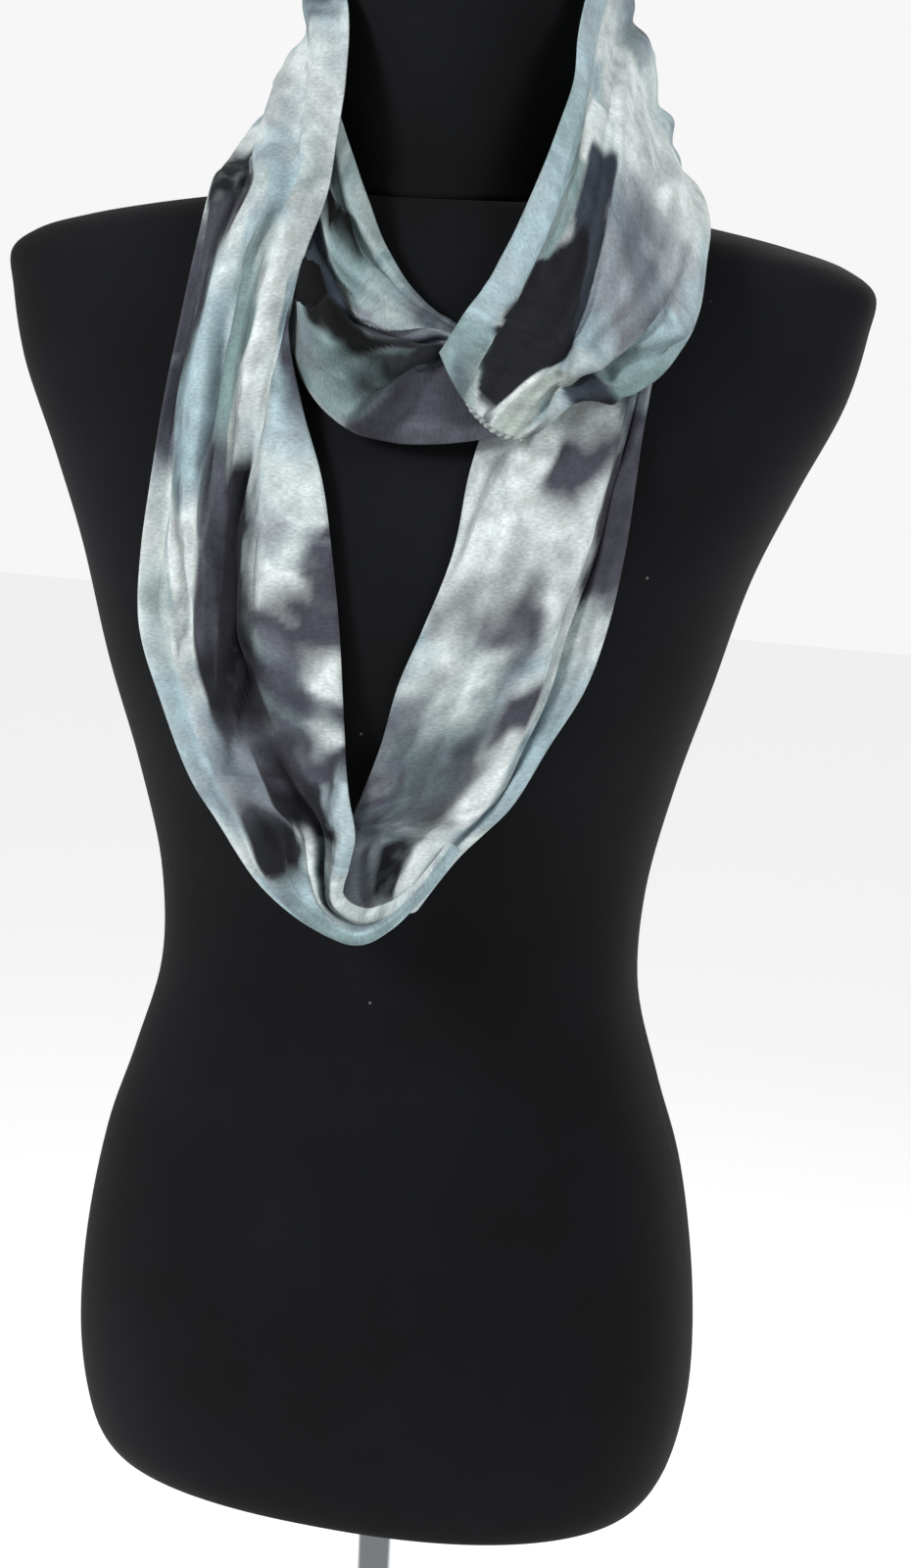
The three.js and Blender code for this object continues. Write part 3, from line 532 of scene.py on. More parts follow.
neck_outer = {
    "rows": [
        (collar(-135, 97, 1476), collar(-100, 60, 1568), 5),
        (collar(-165, 93, 1483), collar(-145, 58.7, 1573), 5),
        (collar(-197, 92, 1486), collar(-193, 59.4, 1575), 4),
        (collar(-226, 96, 1483), collar(-234, 63, 1575), 4),
        (collar(-252, 101, 1477), collar(-268, 65, 1572), 2),
    ],
    "stations": [2.5, 5],
    "folds": [
        ("", [0, 0], [0, 0]),
        ("", [0.06, 0.05], [2, 1]),
        ("", [0.13, 0.11], [0, 0]),
        ("", [0.22, 0.2], [3, 1.5]),
        ("", [0.31, 0.29], [-2, -1]),
        ("", [0.4, 0.38], [1, 1]),
        ("", [0.47, 0.47], [3.5, 2]),
        ("", [0.57, 0.56], [2, 2]),
        ("", [0.65, 0.64], [-2, -1]),
        ("", [0.73, 0.71], [1.5, 1]),
        ("", [0.82, 0.79], [2.5, 2]),
        ("", [0.92, 0.89], [0, 1]),
        ("", [1, 1], [0, 0]),
    ],
}

short_right = {
    "rows": [
        (collar(88, 108, 1470), collar(76, 68, 1562), -3),
        (free(126, -6, 1465), collar(68, 70, 1547), -5),
        (free(138, -33, 1454), free(73, -30, 1529), -4),
        (free(143, -58, 1438), free(75, -40, 1511), 0),
        (chest(144, 1420, 19), free(72, -48, 1493), 3),
        (chest(141, 1406, 19), free(69, -56, 1477), 6),
        (chest(134, 1393, 19), free(64, -62, 1460), 8),
        (chest(125, 1385, 19), chest(58, 1443, 16), 9),
        (chest(116, 1380, 19), chest(53, 1428, 16), 9),
        (chest(99, 1379, 19), chest(45, 1412, 19), 7, 3),
        (chest(81, 1364, 20), chest(38, 1396, 22), 4, 11),
    ],
    "stations": [4, 6, 8.5, 11],
    "folds": [
        ("lower edge", [0, 0, 0, 0], [-2, -3, -4, 0]),
        ("roll", [0.06, 0.08, 0.11, 0.07], [1, 4, 3, 1]),
        ("roll groove", [0.14, 0.2, 0.25, 0.14], [0, -1, -5, 0]),
        ("panel", [0.25, 0.28, 0.3, 0.21], [2, 2, 1, 1]),
        ("panel", [0.38, 0.38, 0.36, 0.28], [1, 2, 2, 1]),
        ("panel", [0.5, 0.48, 0.41, 0.35], [2, 2, 3, 2]),
        ("panel", [0.61, 0.57, 0.46, 0.42], [2, 2, 3, 2]),
        ("panel edge", [0.7, 0.65, 0.51, 0.48], [3, 4, 4, 1]),
        ("dark groove", [0.74, 0.69, 0.55, 0.54], [-0.5, -0.5, 0, 0]),
        ("dark strip", [0.8, 0.76, 0.66, 0.62], [0, 0, 0.5, 1]),
        ("blue groove", [0.87, 0.84, 0.79, 0.72], [-1, -1, -1, 0]),
        ("blue strip", [0.93, 0.91, 0.88, 0.86], [1.5, 2, 2, 1]),
        ("upper edge", [1, 1, 1, 1], [0, 0, 0, 0]),
    ],
}


def unit(vectors):
    return vectors / np.maximum(np.linalg.norm(vectors, axis=-1, keepdims=True), 1e-9)


def eased(share):
    """A share from 0 to 1 with a soft start and end."""
    return share * share * (3 - 2 * share)


CHEST_TOP = 1420
CHEST_TO_NECK = 80
ASIDE_ON_CHEST = 0.45
UP_ON_NECK = 0.35


def outward(points):
    """The way out of the form: forward and aside on the chest, square to the neck higher up."""
    k = eased(np.clip((points[..., 2] - CHEST_TOP) / CHEST_TO_NECK, 0, 1))
    way = unit(np.stack([(1 - k) * ASIDE_ON_CHEST * points[..., 0] + k * (points[..., 0] - NECK_X),
                         (1 - k) * points[..., 1] + k * (points[..., 1] - NECK_Y), 0 * k], -1))
    way[..., 2] = UP_ON_NECK * k
    return unit(way)


def strip_sections(stretches):
    """All cross-sections of a run of stretches that follow each other."""
    points = []
    last = None
    for stretch in stretches:
        places = list(stretch["stations"])
        lists = [fold[1:] for fold in stretch["folds"]]
        if last:
            places = [0] + places
            lists = [[[before] + values for before, values in zip(old, new)] for old, new in zip(last, lists)]
        for index, (low, top, bow, *sag) in enumerate(stretch["rows"]):
            place = index + 1 if last else index
            share, rise = (np.array([np.interp(place, places, fold[k]) for fold in lists]) for k in (0, 1))
            middle = 4 * share * (1 - share)
            section = np.outer(1 - share, low) + np.outer(share, top)
            section[:, 2] -= sum(sag) * middle
            section += outward(section) * (bow * middle + FOLD_DEPTH * rise)[:, None]
            points.append(section)
        last = [[values[-1] for values in fold[1:]] for fold in stretch["folds"]]
    return np.array(points)


def spread(count, steps):
    """Places from the first to the last of so many rows, with so many steps from row to row."""
    return np.linspace(0, count - 1, (count - 1) * steps + 1)


def drawn(path, steps):
    """A path of a few points, drawn smooth."""
    return smooth(path, spread(len(path), steps))


def grid_normals(grid):
    return unit(np.cross(np.gradient(grid, axis=0), np.gradient(grid, axis=1)))


def lengths(grid, axis):
    """Distance run along one way of the grid."""
    steps = np.linalg.norm(np.diff(grid, axis=axis), axis=-1)
    start = np.zeros_like(np.take(steps, [0], axis))
    return np.concatenate([start, np.cumsum(steps, axis)], axis)


def at_place(grid, place, turn):
    """Points of the grid at places along it and turns across it, between its own points."""
    i = np.clip(np.asarray(place) * STEPS_ALONG, 0, grid.shape[0] - 1.001)
    j = np.clip(np.asarray(turn) * STEPS_ACROSS, 0, grid.shape[1] - 1.001)
    row, column = i.astype(int), j.astype(int)
    u, v = (i - row)[:, None], (j - column)[:, None]
    near = grid[row, column] * (1 - v) + grid[row, column + 1] * v
    far = grid[row + 1, column] * (1 - v) + grid[row + 1, column + 1] * v
    return near * (1 - u) + far * u


# How a crease is pressed in. It fades towards its ends. A valley gets painted shade down its middle. A lap
# lays painted shade on the cloth beneath it and a little of its own edge, pulls that edge across and takes up
# cloth.
CREASE_STEPS = 16
PLACES_REACHED = 1.5
END_FADE, END_LEFT = 7, 0.15
DARKEST_VALLEY, VALLEY_SHADE = 5, 0.6
DARKEST_LAP, SHADE_BELOW, SHADE_ON_TOP = 4, 2.4, 0.5
PULL, PULL_WIDTH = 0.3, 2.5
CLOTH_IN_LAP, LAP_SHARPNESS = 4, 8
SOFTENINGS = 2
WAVE_HEIGHT, WAVE_WIDTH, WAVE_LENGTH = 0.5, 7, 80


def laid_cloth(stretches, creases):
    """The strip's middle surface as a grid of points with its creases pressed in, the places and fold
    lines of its points, how much cloth is hidden in the creases up to each point, in millimetres, and
    how much painted shade each point gets from the creases, from 0 to 1.

    A crease has a kind, a reach in millimetres, and points of place, fold line and depth. A valley and a
    ridge are even on both sides. At a step the cloth laps over itself: the side with the higher fold
    lines lies on top where the depth is above 0, and the other side where it is below. A seam is such a
    step that runs across the strip."""
    sections = strip_sections(stretches)
    places = spread(sections.shape[0], STEPS_ALONG)
    turns = spread(sections.shape[1], STEPS_ACROSS)
    grid = smooth(np.swapaxes(smooth(sections, places), 0, 1), turns).swapaxes(0, 1)
    normal = grid_normals(grid)
    across, along = unit(np.gradient(grid, axis=1)), unit(np.gradient(grid, axis=0))
    rise, slide, hidden, painted_crease_shade = np.zeros((4,) + grid.shape[:2])
    for kind, reach, path in creases:
        knots = drawn(path, CREASE_STEPS)
        spots = at_place(grid, knots[:, 0], knots[:, 1])
        low, high = knots[:, 0].min() - PLACES_REACHED, knots[:, 0].max() + PLACES_REACHED
        part = np.flatnonzero((places > low) & (places < high))
        part = slice(part[0], part[-1] + 1)
        gap = grid[part][:, :, None, :] - spots
        near = np.argmin((gap ** 2).sum(-1), axis=2)
        gap = np.take_along_axis(gap, near[..., None, None], axis=2)[:, :, 0]
        share = near / (len(knots) - 1)
        depth = knots[near, 2] * np.clip(END_FADE * np.minimum(share, 1 - share) + END_LEFT, 0, 1)
        away = np.linalg.norm(gap, axis=-1)
        side = along[part] if kind == "seam" else across[part]
        signed = away * np.sign((gap * side).sum(-1))
        bell = np.exp(-(away / reach) ** 2)
        if kind == "valley":
            rise[part] -= depth * bell
            # Painted shade down the valley's middle.
            dark = np.clip(depth / DARKEST_VALLEY, 0, 1) * np.exp(-(away / (VALLEY_SHADE * reach)) ** 2)
            painted_crease_shade[part] = np.maximum(painted_crease_shade[part], dark)
        elif kind == "ridge":
            rise[part] += depth * bell
        else:
            rise[part] += 0.5 * depth * np.tanh(signed / LAP_WIDTH) * bell
            # Painted shade on the cloth beneath the lap and on a little of its own edge.
            below = np.exp(-(away / np.where(signed * depth < 0, SHADE_BELOW, SHADE_ON_TOP)) ** 2)
            painted_crease_shade[part] = np.maximum(painted_crease_shade[part], np.clip(np.abs(depth) / DARKEST_LAP, 0, 1) * below)
        if kind == "step":
            lap = np.clip(signed * np.sign(depth), 0, None)
            slide[part] -= PULL * depth * np.exp(-(lap / PULL_WIDTH) ** 2) * (signed * depth > 0)
            order = np.argsort(knots[:, 0])
            edge = np.interp(places[part], knots[order, 0], knots[order, 1])
            taken = np.interp(places[part], knots[order, 0], np.abs(knots[order, 2]), left=0, right=0)
            beyond = 0.5 + 0.5 * np.tanh((turns[None, :] - edge[:, None]) * LAP_SHARPNESS)
            hidden[part] += CLOTH_IN_LAP * taken[:, None] * beyond
    for _ in range(SOFTENINGS):
        for field in (rise, slide, painted_crease_shade):
            field[1:-1] = 0.25 * field[:-2] + 0.5 * field[1:-1] + 0.25 * field[2:]
    # A little unevenness all over: long shallow waves that run with the cloth.
    width, run = lengths(grid, 1), lengths(grid, 0)
    for cell in np.ndindex(rise.shape):
        wave = noise.noise(Vector((width[cell] / WAVE_WIDTH, run[cell] / WAVE_LENGTH, 5.0)))
        rise[cell] += WAVE_HEIGHT * wave
    return grid + normal * rise[..., None] + across * slide[..., None], places, turns, hidden, painted_crease_shade


def strip_mesh(rows, columns):
    """A flat strip as a bmesh, the UV layer that the crepe reads, and each vertex's row and column."""
    bm = bmesh.new()
    uv = bm.loops.layers.uv.new("cloth")
    bm.verts.layers.float_color.new("dye")
    bmesh.ops.create_grid(bm, x_segments=rows - 1, y_segments=columns - 1, size=0.5)
    cells = {vert: (round((vert.co.x + 0.5) * (rows - 1)), round((vert.co.y + 0.5) * (columns - 1)))
             for vert in bm.verts}
    return bm, uv, cells


def lay_uv(bm, uv, cells, along, across):
    """Writes the UV map in metres of cloth, from two grids in millimetres."""
    for face in bm.faces:
        for loop in face.loops:
            cell = cells[loop.vert]
            loop[uv].uv = (along[cell] * MM, across[cell] * MM)


# Creases and laps of the strip that was wound first: the knot's big fold with its hem, and the right side.
FIRST_CREASES = [
    # the knot: first strip over the second, with a gap between them
    ("valley", 3, [(6.4, 9.2, 2), (5.7, 9.3, 5), (5.2, 9.6, 8), (4.75, 9.5, 6), (4.3, 9.5, 3), (4, 9.6, 3),
                   (3.6, 9.9, 2), (2.7, 10, 1)]),
    # its hemmed edge over the rolled third strip
    ("step", 5, [(6.2, 6.8, 2), (5.6, 7.3, 4), (5, 8.2, 4), (4.75, 8, 4), (4.5, 7.9, 4), (4.2, 7.25, 4),
                 (4, 6.6, 4), (3.85, 6.4, 4), (3.55, 6.7, 4), (3, 7.3, 3), (2.5, 8, 2), (2.1, 8.8, 1)]),
    # the black hollow between the third strip and the big fold, and the big fold's edge below it
    ("valley", 5, [(6.2, 5.9, 3), (5.6, 5.8, 9), (5.2, 5.9, 11), (4.8, 5.6, 11), (4.4, 5.3, 9),
                   (4.1, 4.9, 5), (3.6, 5.2, 2)]),
    ("step", 6, [(5.3, 5.1, -3), (4.9, 5, -5), (4.5, 4.9, -6), (4.05, 4.2, -6), (3.7, 4.4, -5),
                 (3.35, 4.7, -4), (2.9, 5.4, -3), (2.5, 6.2, -3), (2.2, 7.2, -2)]),
    ("valley", 4, [(4.95, 3.2, 3), (4.6, 3.5, 3), (4.2, 3.8, 4), (3.9, 4.1, 3)]),
    ("valley", 4, [(5.2, 1.8, 1.5), (4.4, 2.3, 2), (3.8, 2.8, 1.5)]),
    ("valley", 4.5, [(3.7, 0.2, 3), (3.3, 1.1, 5), (2.95, 1.8, 5), (2.6, 2.6, 5), (2.3, 3.4, 5),
                     (2.05, 4, 4)]),
    ("ridge", 4, [(3.1, 0.3, 2), (2.7, 1.1, 3), (2.4, 1.9, 3), (2, 3, 2)]),
    ("valley", 3, [(9.5, 2.6, 2), (8.5, 3.1, 3), (7.4, 3.6, 2.5), (6.6, 4.4, 2)]),
    ("valley", 3.5, [(10.5, 7.2, 2), (9, 7.6, 3), (7.6, 7.4, 3), (6.6, 7.2, 2)]),
    # behind the neck
    ("valley", 3, [(10, 3.4, 2), (12, 4.1, 3), (14, 3.5, 3.5), (16, 3.9, 2)]),
    ("step", 4, [(10.5, 9.2, 2), (12.2, 8.3, 3), (13.8, 8.9, 3), (15.6, 8.1, 2)]),
    ("valley", 2.5, [(11.4, 6.2, 2), (13, 5.6, 2.5), (15.2, 6.4, 2)]),
    # the right side: the broad panel over the side strip, and over the flap inside it
    ("step", 5, [(16.5, 4.4, 2), (18.5, 4.4, 3), (20, 4.2, 4), (21, 4.1, 4), (22, 4.2, 4), (22.5, 4.3, 4),
                 (23, 4.3, 4), (23.7, 4.3, 3), (24.4, 4.2, 3), (25, 4, 3), (26, 3.4, 3), (26.8, 2.8, 2)]),
    ("step", 4, [(19.6, 9, -2), (20.3, 9.7, -3), (20.7, 10.5, -3), (21, 10.7, -3), (21.5, 11.1, -3),
                 (22.3, 11.6, -2)]),
    ("valley", 4, [(20.4, 2.2, 1.5), (21.4, 2, 3), (23, 1.8, 3), (25, 1.6, 2)]),
    ("valley", 8, [(22.8, 9, 1), (24, 9.2, 1.8), (26.2, 9.6, 1.2)]),
    ("valley", 8, [(23.6, 6.4, 1), (25, 6.7, 2), (27, 7, 1.5)]),
    ("ridge", 4, [(24.6, 5, 1), (25.3, 4.9, 2.5), (26, 4.8, 2.5), (27.4, 5, 1.5)]),
    ("valley", 6, [(20.2, 7.3, 1.2), (21.4, 7.6, 1.6), (22.6, 8.2, 1)]),
    ("seam", 3, [(27, 11.8, 2.5), (27.1, 9.6, 2.5), (27.2, 7.4, 2.5), (27.3, 5, 2)]),
    ("valley", 3, [(27.5, 9.6, 2), (28.4, 9.2, 3), (29.6, 8.6, 2)]),
    ("valley", 2.5, [(27.6, 6.6, 1.5), (28.4, 6.2, 2), (29.6, 5.4, 2)]),
]
# Creases and laps of the rest: the ring at the bottom, the left side, the collar and the right shoulder.
SECOND_CREASES = [
    # the left side's outer strip, with its hollow like a teardrop below
    ("valley", 3.5, [(17.6, 2.2, 1), (17, 2, 2), (16, 2.4, 3), (15, 2.2, 3), (14, 2, 2.5), (13, 1.8, 2),
                     (12, 1.8, 1.5)]),
    ("step", 5, [(17, 4.2, 2), (16, 3.8, 3), (15, 3.6, 4), (14, 3.5, 4), (13, 3.8, 4.5), (12, 4, 4.5),
                 (11.4, 4, 4), (10.8, 4.1, 2)]),
    ("ridge", 3, [(11.4, 4.1, 1), (10.8, 4.2, 3), (10.4, 4.3, 3.5), (10.1, 4, 3.5), (9.8, 3.4, 3),
                  (9.55, 2.8, 1.5)]),
    ("valley", 6, [(11.4, 2.2, 1), (10.8, 2.3, 4), (10.3, 2.4, 5), (9.9, 2.3, 3)]),
    # the broad fold's far edge over the teal strip, and the white fold over that strip and the panel
    ("step", 5, [(16.3, 6.2, -1), (15.4, 6.3, -3), (14, 6.4, -4), (13, 6, -4.5), (12, 5.4, -4),
                 (11.2, 5, -2)]),
    ("valley", 4, [(16.6, 9.8, 1), (16, 8.6, 2.5), (15.7, 7.8, 3), (15.3, 7.4, 3), (14.9, 7.2, 2)]),
    ("step", 4.5, [(15.2, 7.5, 2), (14.6, 7.6, 4), (13.8, 7.4, 4), (13.15, 7.8, 4), (12.6, 7.9, 4),
                   (12, 7.7, 3), (11.5, 7.6, 1)]),
    ("step", 4.5, [(14.6, 11.9, -3), (14, 11.2, -5), (13.4, 10.3, -5), (12.75, 10.05, -4),
                   (12.2, 9.9, -2)]),
    # the inner panel's edge over the dark hollow that runs across the strip to its outer edge
    ("step", 5, [(12.6, 10.05, 2), (12, 10.1, 5), (11.2, 10.3, 6), (10.55, 10.3, 6), (10, 10.1, 6),
                 (9.5, 9.1, 5), (9, 7.1, 5), (8.65, 5.5, 4), (8.35, 4.1, 4), (8.1, 3, 2)]),
    ("valley", 4, [(12, 9.4, 1), (11.2, 9.2, 4), (10.5, 8.9, 5), (10, 8.3, 5), (9.6, 7.2, 5),
                   (9.05, 5.3, 4), (8.6, 3.8, 3)]),
    ("valley", 2.5, [(12, 6.9, 1), (11.2, 6.5, 2.5), (10.3, 6.2, 2), (9.6, 5.2, 1.5)]),
    ("ridge", 2.5, [(11.8, 7.6, 1), (11, 7.4, 2), (10.3, 7.1, 2), (9.8, 6.3, 1)]),
    ("valley", 6, [(9.5, 10.1, 1), (9, 10.8, 2), (8.5, 11.5, 1.5)]),
    ("valley", 7, [(8.9, 7.6, 1), (8.1, 7.8, 2.5), (7.3, 6.2, 2)]),
    ("ridge", 6, [(8.9, 5.6, 1), (8.2, 5.4, 2.5), (7.6, 4.8, 1.5)]),
    # the front fold that turns into the ring, and the pale ridge beside it
    ("step", 4, [(8.6, 11.9, 2), (8.2, 11.6, 4), (7.7, 11.1, 5), (7.1, 10.4, 5), (6.5, 10.2, 5),
                 (5.9, 10, 4), (5.2, 9.7, 3), (4.5, 9.3, 3), (3.8, 9, 2.5), (2.6, 8.8, 1.5)]),
    ("ridge", 3, [(7.6, 7.9, 1), (7.1, 7.6, 3), (6.6, 7.3, 4), (6.1, 7.4, 4), (5.6, 7.7, 3.5),
                  (5, 7.6, 2.5), (4.2, 7, 1.5)]),
    ("valley", 3, [(7.2, 5.6, 1), (6.5, 5.4, 2.5), (5.8, 5.6, 2.5), (4.9, 5.4, 1.5)]),
    ("valley", 3, [(6.8, 2.4, 1), (6, 2.6, 2), (5, 3, 2), (3.6, 3.4, 1)]),
    # the collar
    ("valley", 4, [(19, 5, 1), (20, 4.3, 3), (22, 4.7, 2)]),
    ("step", 4, [(19.8, 8, 2), (21.4, 8.6, 4), (23.2, 7.8, 3), (24.6, 8.3, 2)]),
    ("valley", 3, [(20, 10.2, 1), (21, 9.9, 3), (22.8, 10.4, 2)]),
    ("valley", 4, [(21.4, 2.6, 2), (23, 3.2, 3.5), (24.4, 2.7, 2.5), (25.4, 3.2, 1)]),
    ("valley", 3, [(22.6, 6, 1.5), (23.8, 5.6, 2.5), (25, 6.2, 1)]),
    # the right shoulder: the blue strip over the dark one, and the broad panel's edge over it too
    ("step", 5, [(27.6, 10.8, 1), (29.6, 10.4, 3), (30.3, 10.1, 4), (31.4, 10.5, 4), (32.2, 10.5, 4),
                 (33, 10.4, 4), (33.6, 10.4, 4), (34.5, 10.1, 4), (35.1, 10, 4), (35.6, 10, 4),
                 (36, 10, 3)]),
    ("step", 4, [(28.8, 7.4, -1), (29.8, 7.3, -3), (30.8, 7.1, -3.5), (31.6, 7, -3.5), (32.5, 6.7, -3.5),
                 (33.3, 6.3, -3.5), (34, 5.8, -3), (34.6, 5, -2.5), (35.2, 4.4, -1)]),
    ("valley", 3, [(30.2, 9.7, 1), (31.3, 9.5, 2.5), (32.5, 9.5, 2.5), (33.1, 9.6, 1)]),
    # the rolled lower edge, with a pocket behind its tip
    ("step", 8, [(30.7, 0.4, -2), (31.4, 0.9, -5), (32, 1.3, -7), (32.6, 1.7, -7), (33.1, 2, -7),
                 (33.6, 2.3, -7), (34.1, 2.8, -6), (34.6, 3, -3)]),
    ("seam", 5, [(33.6, 2.5, -3), (33.8, 1.7, -5), (33.95, 0.9, -5), (34, -0.5, -5)]),
    ("step", 5, [(33.5, 6, 2), (33.9, 5.6, 4), (34.3, 4.4, 6), (34.6, 3.2, 7), (35.1, 2, 6), (35.5, 1.2, 4),
                 (36, 0.4, 3)]),
    ("valley", 4, [(33.9, 2.6, 2), (34.2, 1.9, 5), (34.4, 1.2, 4), (34.5, 0.6, 1)]),
    ("valley", 4, [(28, 3.3, 1.5), (30.5, 3.6, 3), (32.5, 4.2, 3), (34, 4.6, 2)]),
    ("valley", 4, [(28.6, 2, 1.5), (30, 2.2, 2.5), (31.6, 2.6, 3), (33, 3.2, 2)]),
    ("valley", 3.5, [(29.6, 5.2, 1), (31, 5.3, 2), (32.4, 5.4, 2), (33.6, 5.2, 1)]),
    ("valley", 5, [(27.6, 5, 0.6), (28.6, 5.2, 1.2), (29.6, 5.3, 1)]),
    ("valley", 4.5, [(27, 7.5, 0.6), (28, 7.9, 1.2), (29.2, 8.2, 1)]),
]


# The dye: the undyed cloth is off-white, and the crumpled strip was dipped in pale blue, grey teal and a
# purple black. The darkening along its creases is painted shade. Hidden cloth in a fold takes up some of the
# pattern. The last and darkest colour is no dye but painted shadow, for hollows, a pocket and under a hem.
DYES = {
    "white": linear("#CFD7D6"),
    "blue": linear("#9DB3BA"),
    "teal": linear("#78908F"),
    "grey": linear("#777C86"),
    "purple": linear("#45454F"),
    "bone": linear("#A3ACA7"),
    "slate": linear("#343A44"),
    "black": linear("#1B1C21"),
    # Painted shadow, not a dye: it stands in hollows, in the pocket and under the hem.
    "painted_shadow": linear("#0B0C0E"),
}
# Dips of the dye, in the order that they ran over each other: from a place to a place along the
# strip, from a fold line to a fold line, the dye, its strength, how far it bled across, in lines, and
# for a slanting one how many places it moves back for each line.
FIRST_DIPS = [
    (3.4, 9, 9.4, 12.5, "teal", 0.55, 0.4),
    (3.2, 8.5, 7.2, 9.5, "teal", 0.5, 0.4),
    (2, 4, 5, 7.4, "grey", 1, 0.35),
    (2.2, 3.9, 4.9, 6, "black", 0.7, 0.4),
    (3.5, 5.6, 0.5, 4.9, "teal", 0.85, 0.8),
    (4.6, 5.6, 2.6, 4.6, "grey", 0.6, 0.6),
    (5.2, 7, 0, 4, "black", 0.81, 0.9),
    (2.4, 3.9, 1.9, 4.6, "black", 0.9, 0.7),
    (1.8, 3, 3.6, 5.4, "black", 1, 0.4),
    (-1, 3.75, -1, 4.2, "purple", 1.3, 0.15, 0.43),
    (0.5, 2.6, -1, 1, "grey", 0.6, 0.8),
    (19.4, 22.9, 4.4, 12, "white", 1.03, 0.6),
    (19.3, 21.3, 9.8, 12.5, "grey", 0.45, 0.5),
    (20, 21.1, 4.6, 7, "purple", 1.08, 0.8),
    (21.7, 22.1, 7.4, 8.6, "grey", 0.6, 0.6),
    (22.2, 23.3, 8.2, 11.6, "purple", 0.7, 1),
    (22.3, 23.4, 5, 8.2, "purple", 0.85, 0.9),
    (22.7, 23.4, 5.4, 7, "purple", 1.15, 0.7),
    (23.3, 24.4, 6.4, 11, "white", 0.98, 1.2),
    (24, 25, 4.3, 5.7, "purple", 1.22, 0.5),
    (24.2, 27.4, 9.4, 12.5, "purple", 0.81, 0.8),
    (24.6, 27, 5.4, 9.4, "purple", 0.75, 1.4),
    (24.6, 25.3, 5.8, 7.4, "black", 0.5, 0.7),
    (25.7, 27, 6, 10, "black", 0.4, 1.2),
    (25, 26.6, 4.2, 5.3, "white", 1.09, 0.4),
    (15, 19.6, 0, 5, "grey", 0.5, 0.8),
    (19.6, 22.8, -1, 4.1, "purple", 1.28, 0.4),
    (22.9, 24.4, -1, 4.2, "white", 0.92, 0.5),
    (23.8, 26.8, -1, 3.8, "blue", 0.9, 0.6),
    (27.1, 30, 8.8, 12.5, "grey", 0.7, 0.5),
    (27.3, 29.4, 6.2, 8.8, "black", 1.01, 0.7),
    (27.2, 30, 2, 6, "white", 0.7, 0.6),
]
SECOND_DIPS = [
    # ring and lower left
    (-0.5, 6.2, 0, 7, "blue", 0.9, 0.8),
    (2.4, 5.8, 1.4, 5.6, "teal", 0.7, 1),
    (-0.5, 5.6, 9.2, 12.5, "white", 0.6, 0.5),
    (5.6, 8.6, 10.8, 12.5, "blue", 0.7, 0.5),
    (6, 7.6, 3, 6.7, "black", 1.22, 0.8),
    (4.6, 6.8, 8.3, 10, "black", 0.81, 0.4),
    (6.8, 8.6, 6.7, 10.8, "black", 1.22, 0.7),
    (4.6, 7.2, 6.9, 8.2, "white", 0.8, 0.4),
    (8.4, 9.3, 5, 10.8, "purple", 1.15, 1),
    (7.5, 8.6, 4, 6.6, "grey", 0.8, 0.8),
    (7.4, 8.4, 1.6, 4, "grey", 0.6, 0.8),
    (7.8, 10, -1, 3, "blue", 0.9, 0.7),
    # teardrop hollow and outer strip
    (9.8, 12.4, 0, 3, "white", 0.75, 0.5),
    (9.9, 11, 0.9, 2.9, "teal", 0.55, 0.6),
    (12.3, 15.2, 0.2, 3.6, "purple", 1.08, 0.5),
    (12.6, 13.6, 1.2, 3.4, "black", 0.4, 0.5),
    (11.8, 12.6, 0, 3.4, "grey", 0.5, 0.5),
    # the light strip beside the hollow
    (9.9, 11.5, 3.3, 4.8, "white", 1.09, 0.3),
    # broad blue fold, teal strip and white fold, and the dark cloth above them
    (11.6, 15, 3.7, 5.9, "blue", 0.95, 0.3),
    (14.6, 16.4, 4, 6.4, "white", 0.55, 0.6),
    (12, 15.6, 6.2, 7.6, "teal", 0.85, 0.25),
    (12.6, 14.9, 7.6, 10.2, "white", 1.09, 0.25),
    (14.6, 18, 6.6, 12.5, "white", 0.6, 0.8),
    (15.3, 17, 6.2, 8.2, "blue", 0.8, 0.6),
    (15.3, 17.2, 1.2, 4.6, "black", 1.01, 0.6),
    (14.9, 15.8, 2.2, 3.9, "purple", 1.08, 0.5),
    # inner panel
    (12.2, 14.4, 10.2, 12.5, "blue", 0.8, 0.5),
    (13, 14, 10.8, 12.5, "purple", 1.01, 0.6),
    (11.2, 12.4, 10.2, 12.5, "white", 0.7, 0.6),
    (11.3, 11.8, 10.2, 11.4, "grey", 0.75, 0.5),
    (10.5, 11.2, 10.2, 11.6, "white", 1.09, 0.5),
    (9.2, 10.5, 10.2, 12.5, "purple", 1.15, 0.6),
    (10.3, 11.3, 11.5, 12.5, "purple", 1.08, 0.4),
    (9.3, 10, 10.4, 10.9, "grey", 0.7, 0.3),
    (8.8, 9.5, 11.1, 12.5, "white", 1.09, 0.5),
    (8.1, 8.8, 10.6, 12.5, "purple", 1.15, 0.5),
    # right shoulder
    (26, 30, 0, 10, "white", 0.98, 1),
    (24.5, 36, 10.4, 12.5, "blue", 0.9, 0.2),
    (29, 30.6, 10.2, 12.5, "teal", 0.5, 0.3),
    (29.3, 33.4, 0.6, 6.9, "grey", 0.6, 0.7),
    (29.6, 31.6, 3.8, 6, "purple", 0.45, 0.8),
    (31, 33, 2.2, 4, "purple", 0.35, 0.8),
    (28.6, 31.6, -1, 1.4, "blue", 0.7, 0.6),
    (31.2, 34.4, -1, 2, "blue", 0.95, 0.3),
    (32, 34.2, -1, 1.2, "teal", 0.7, 0.4),
    (32.6, 34.6, 2.8, 6, "blue", 0.6, 0.6),
    (34.8, 36.5, 2, 10, "white", 0.98, 0.5),
]
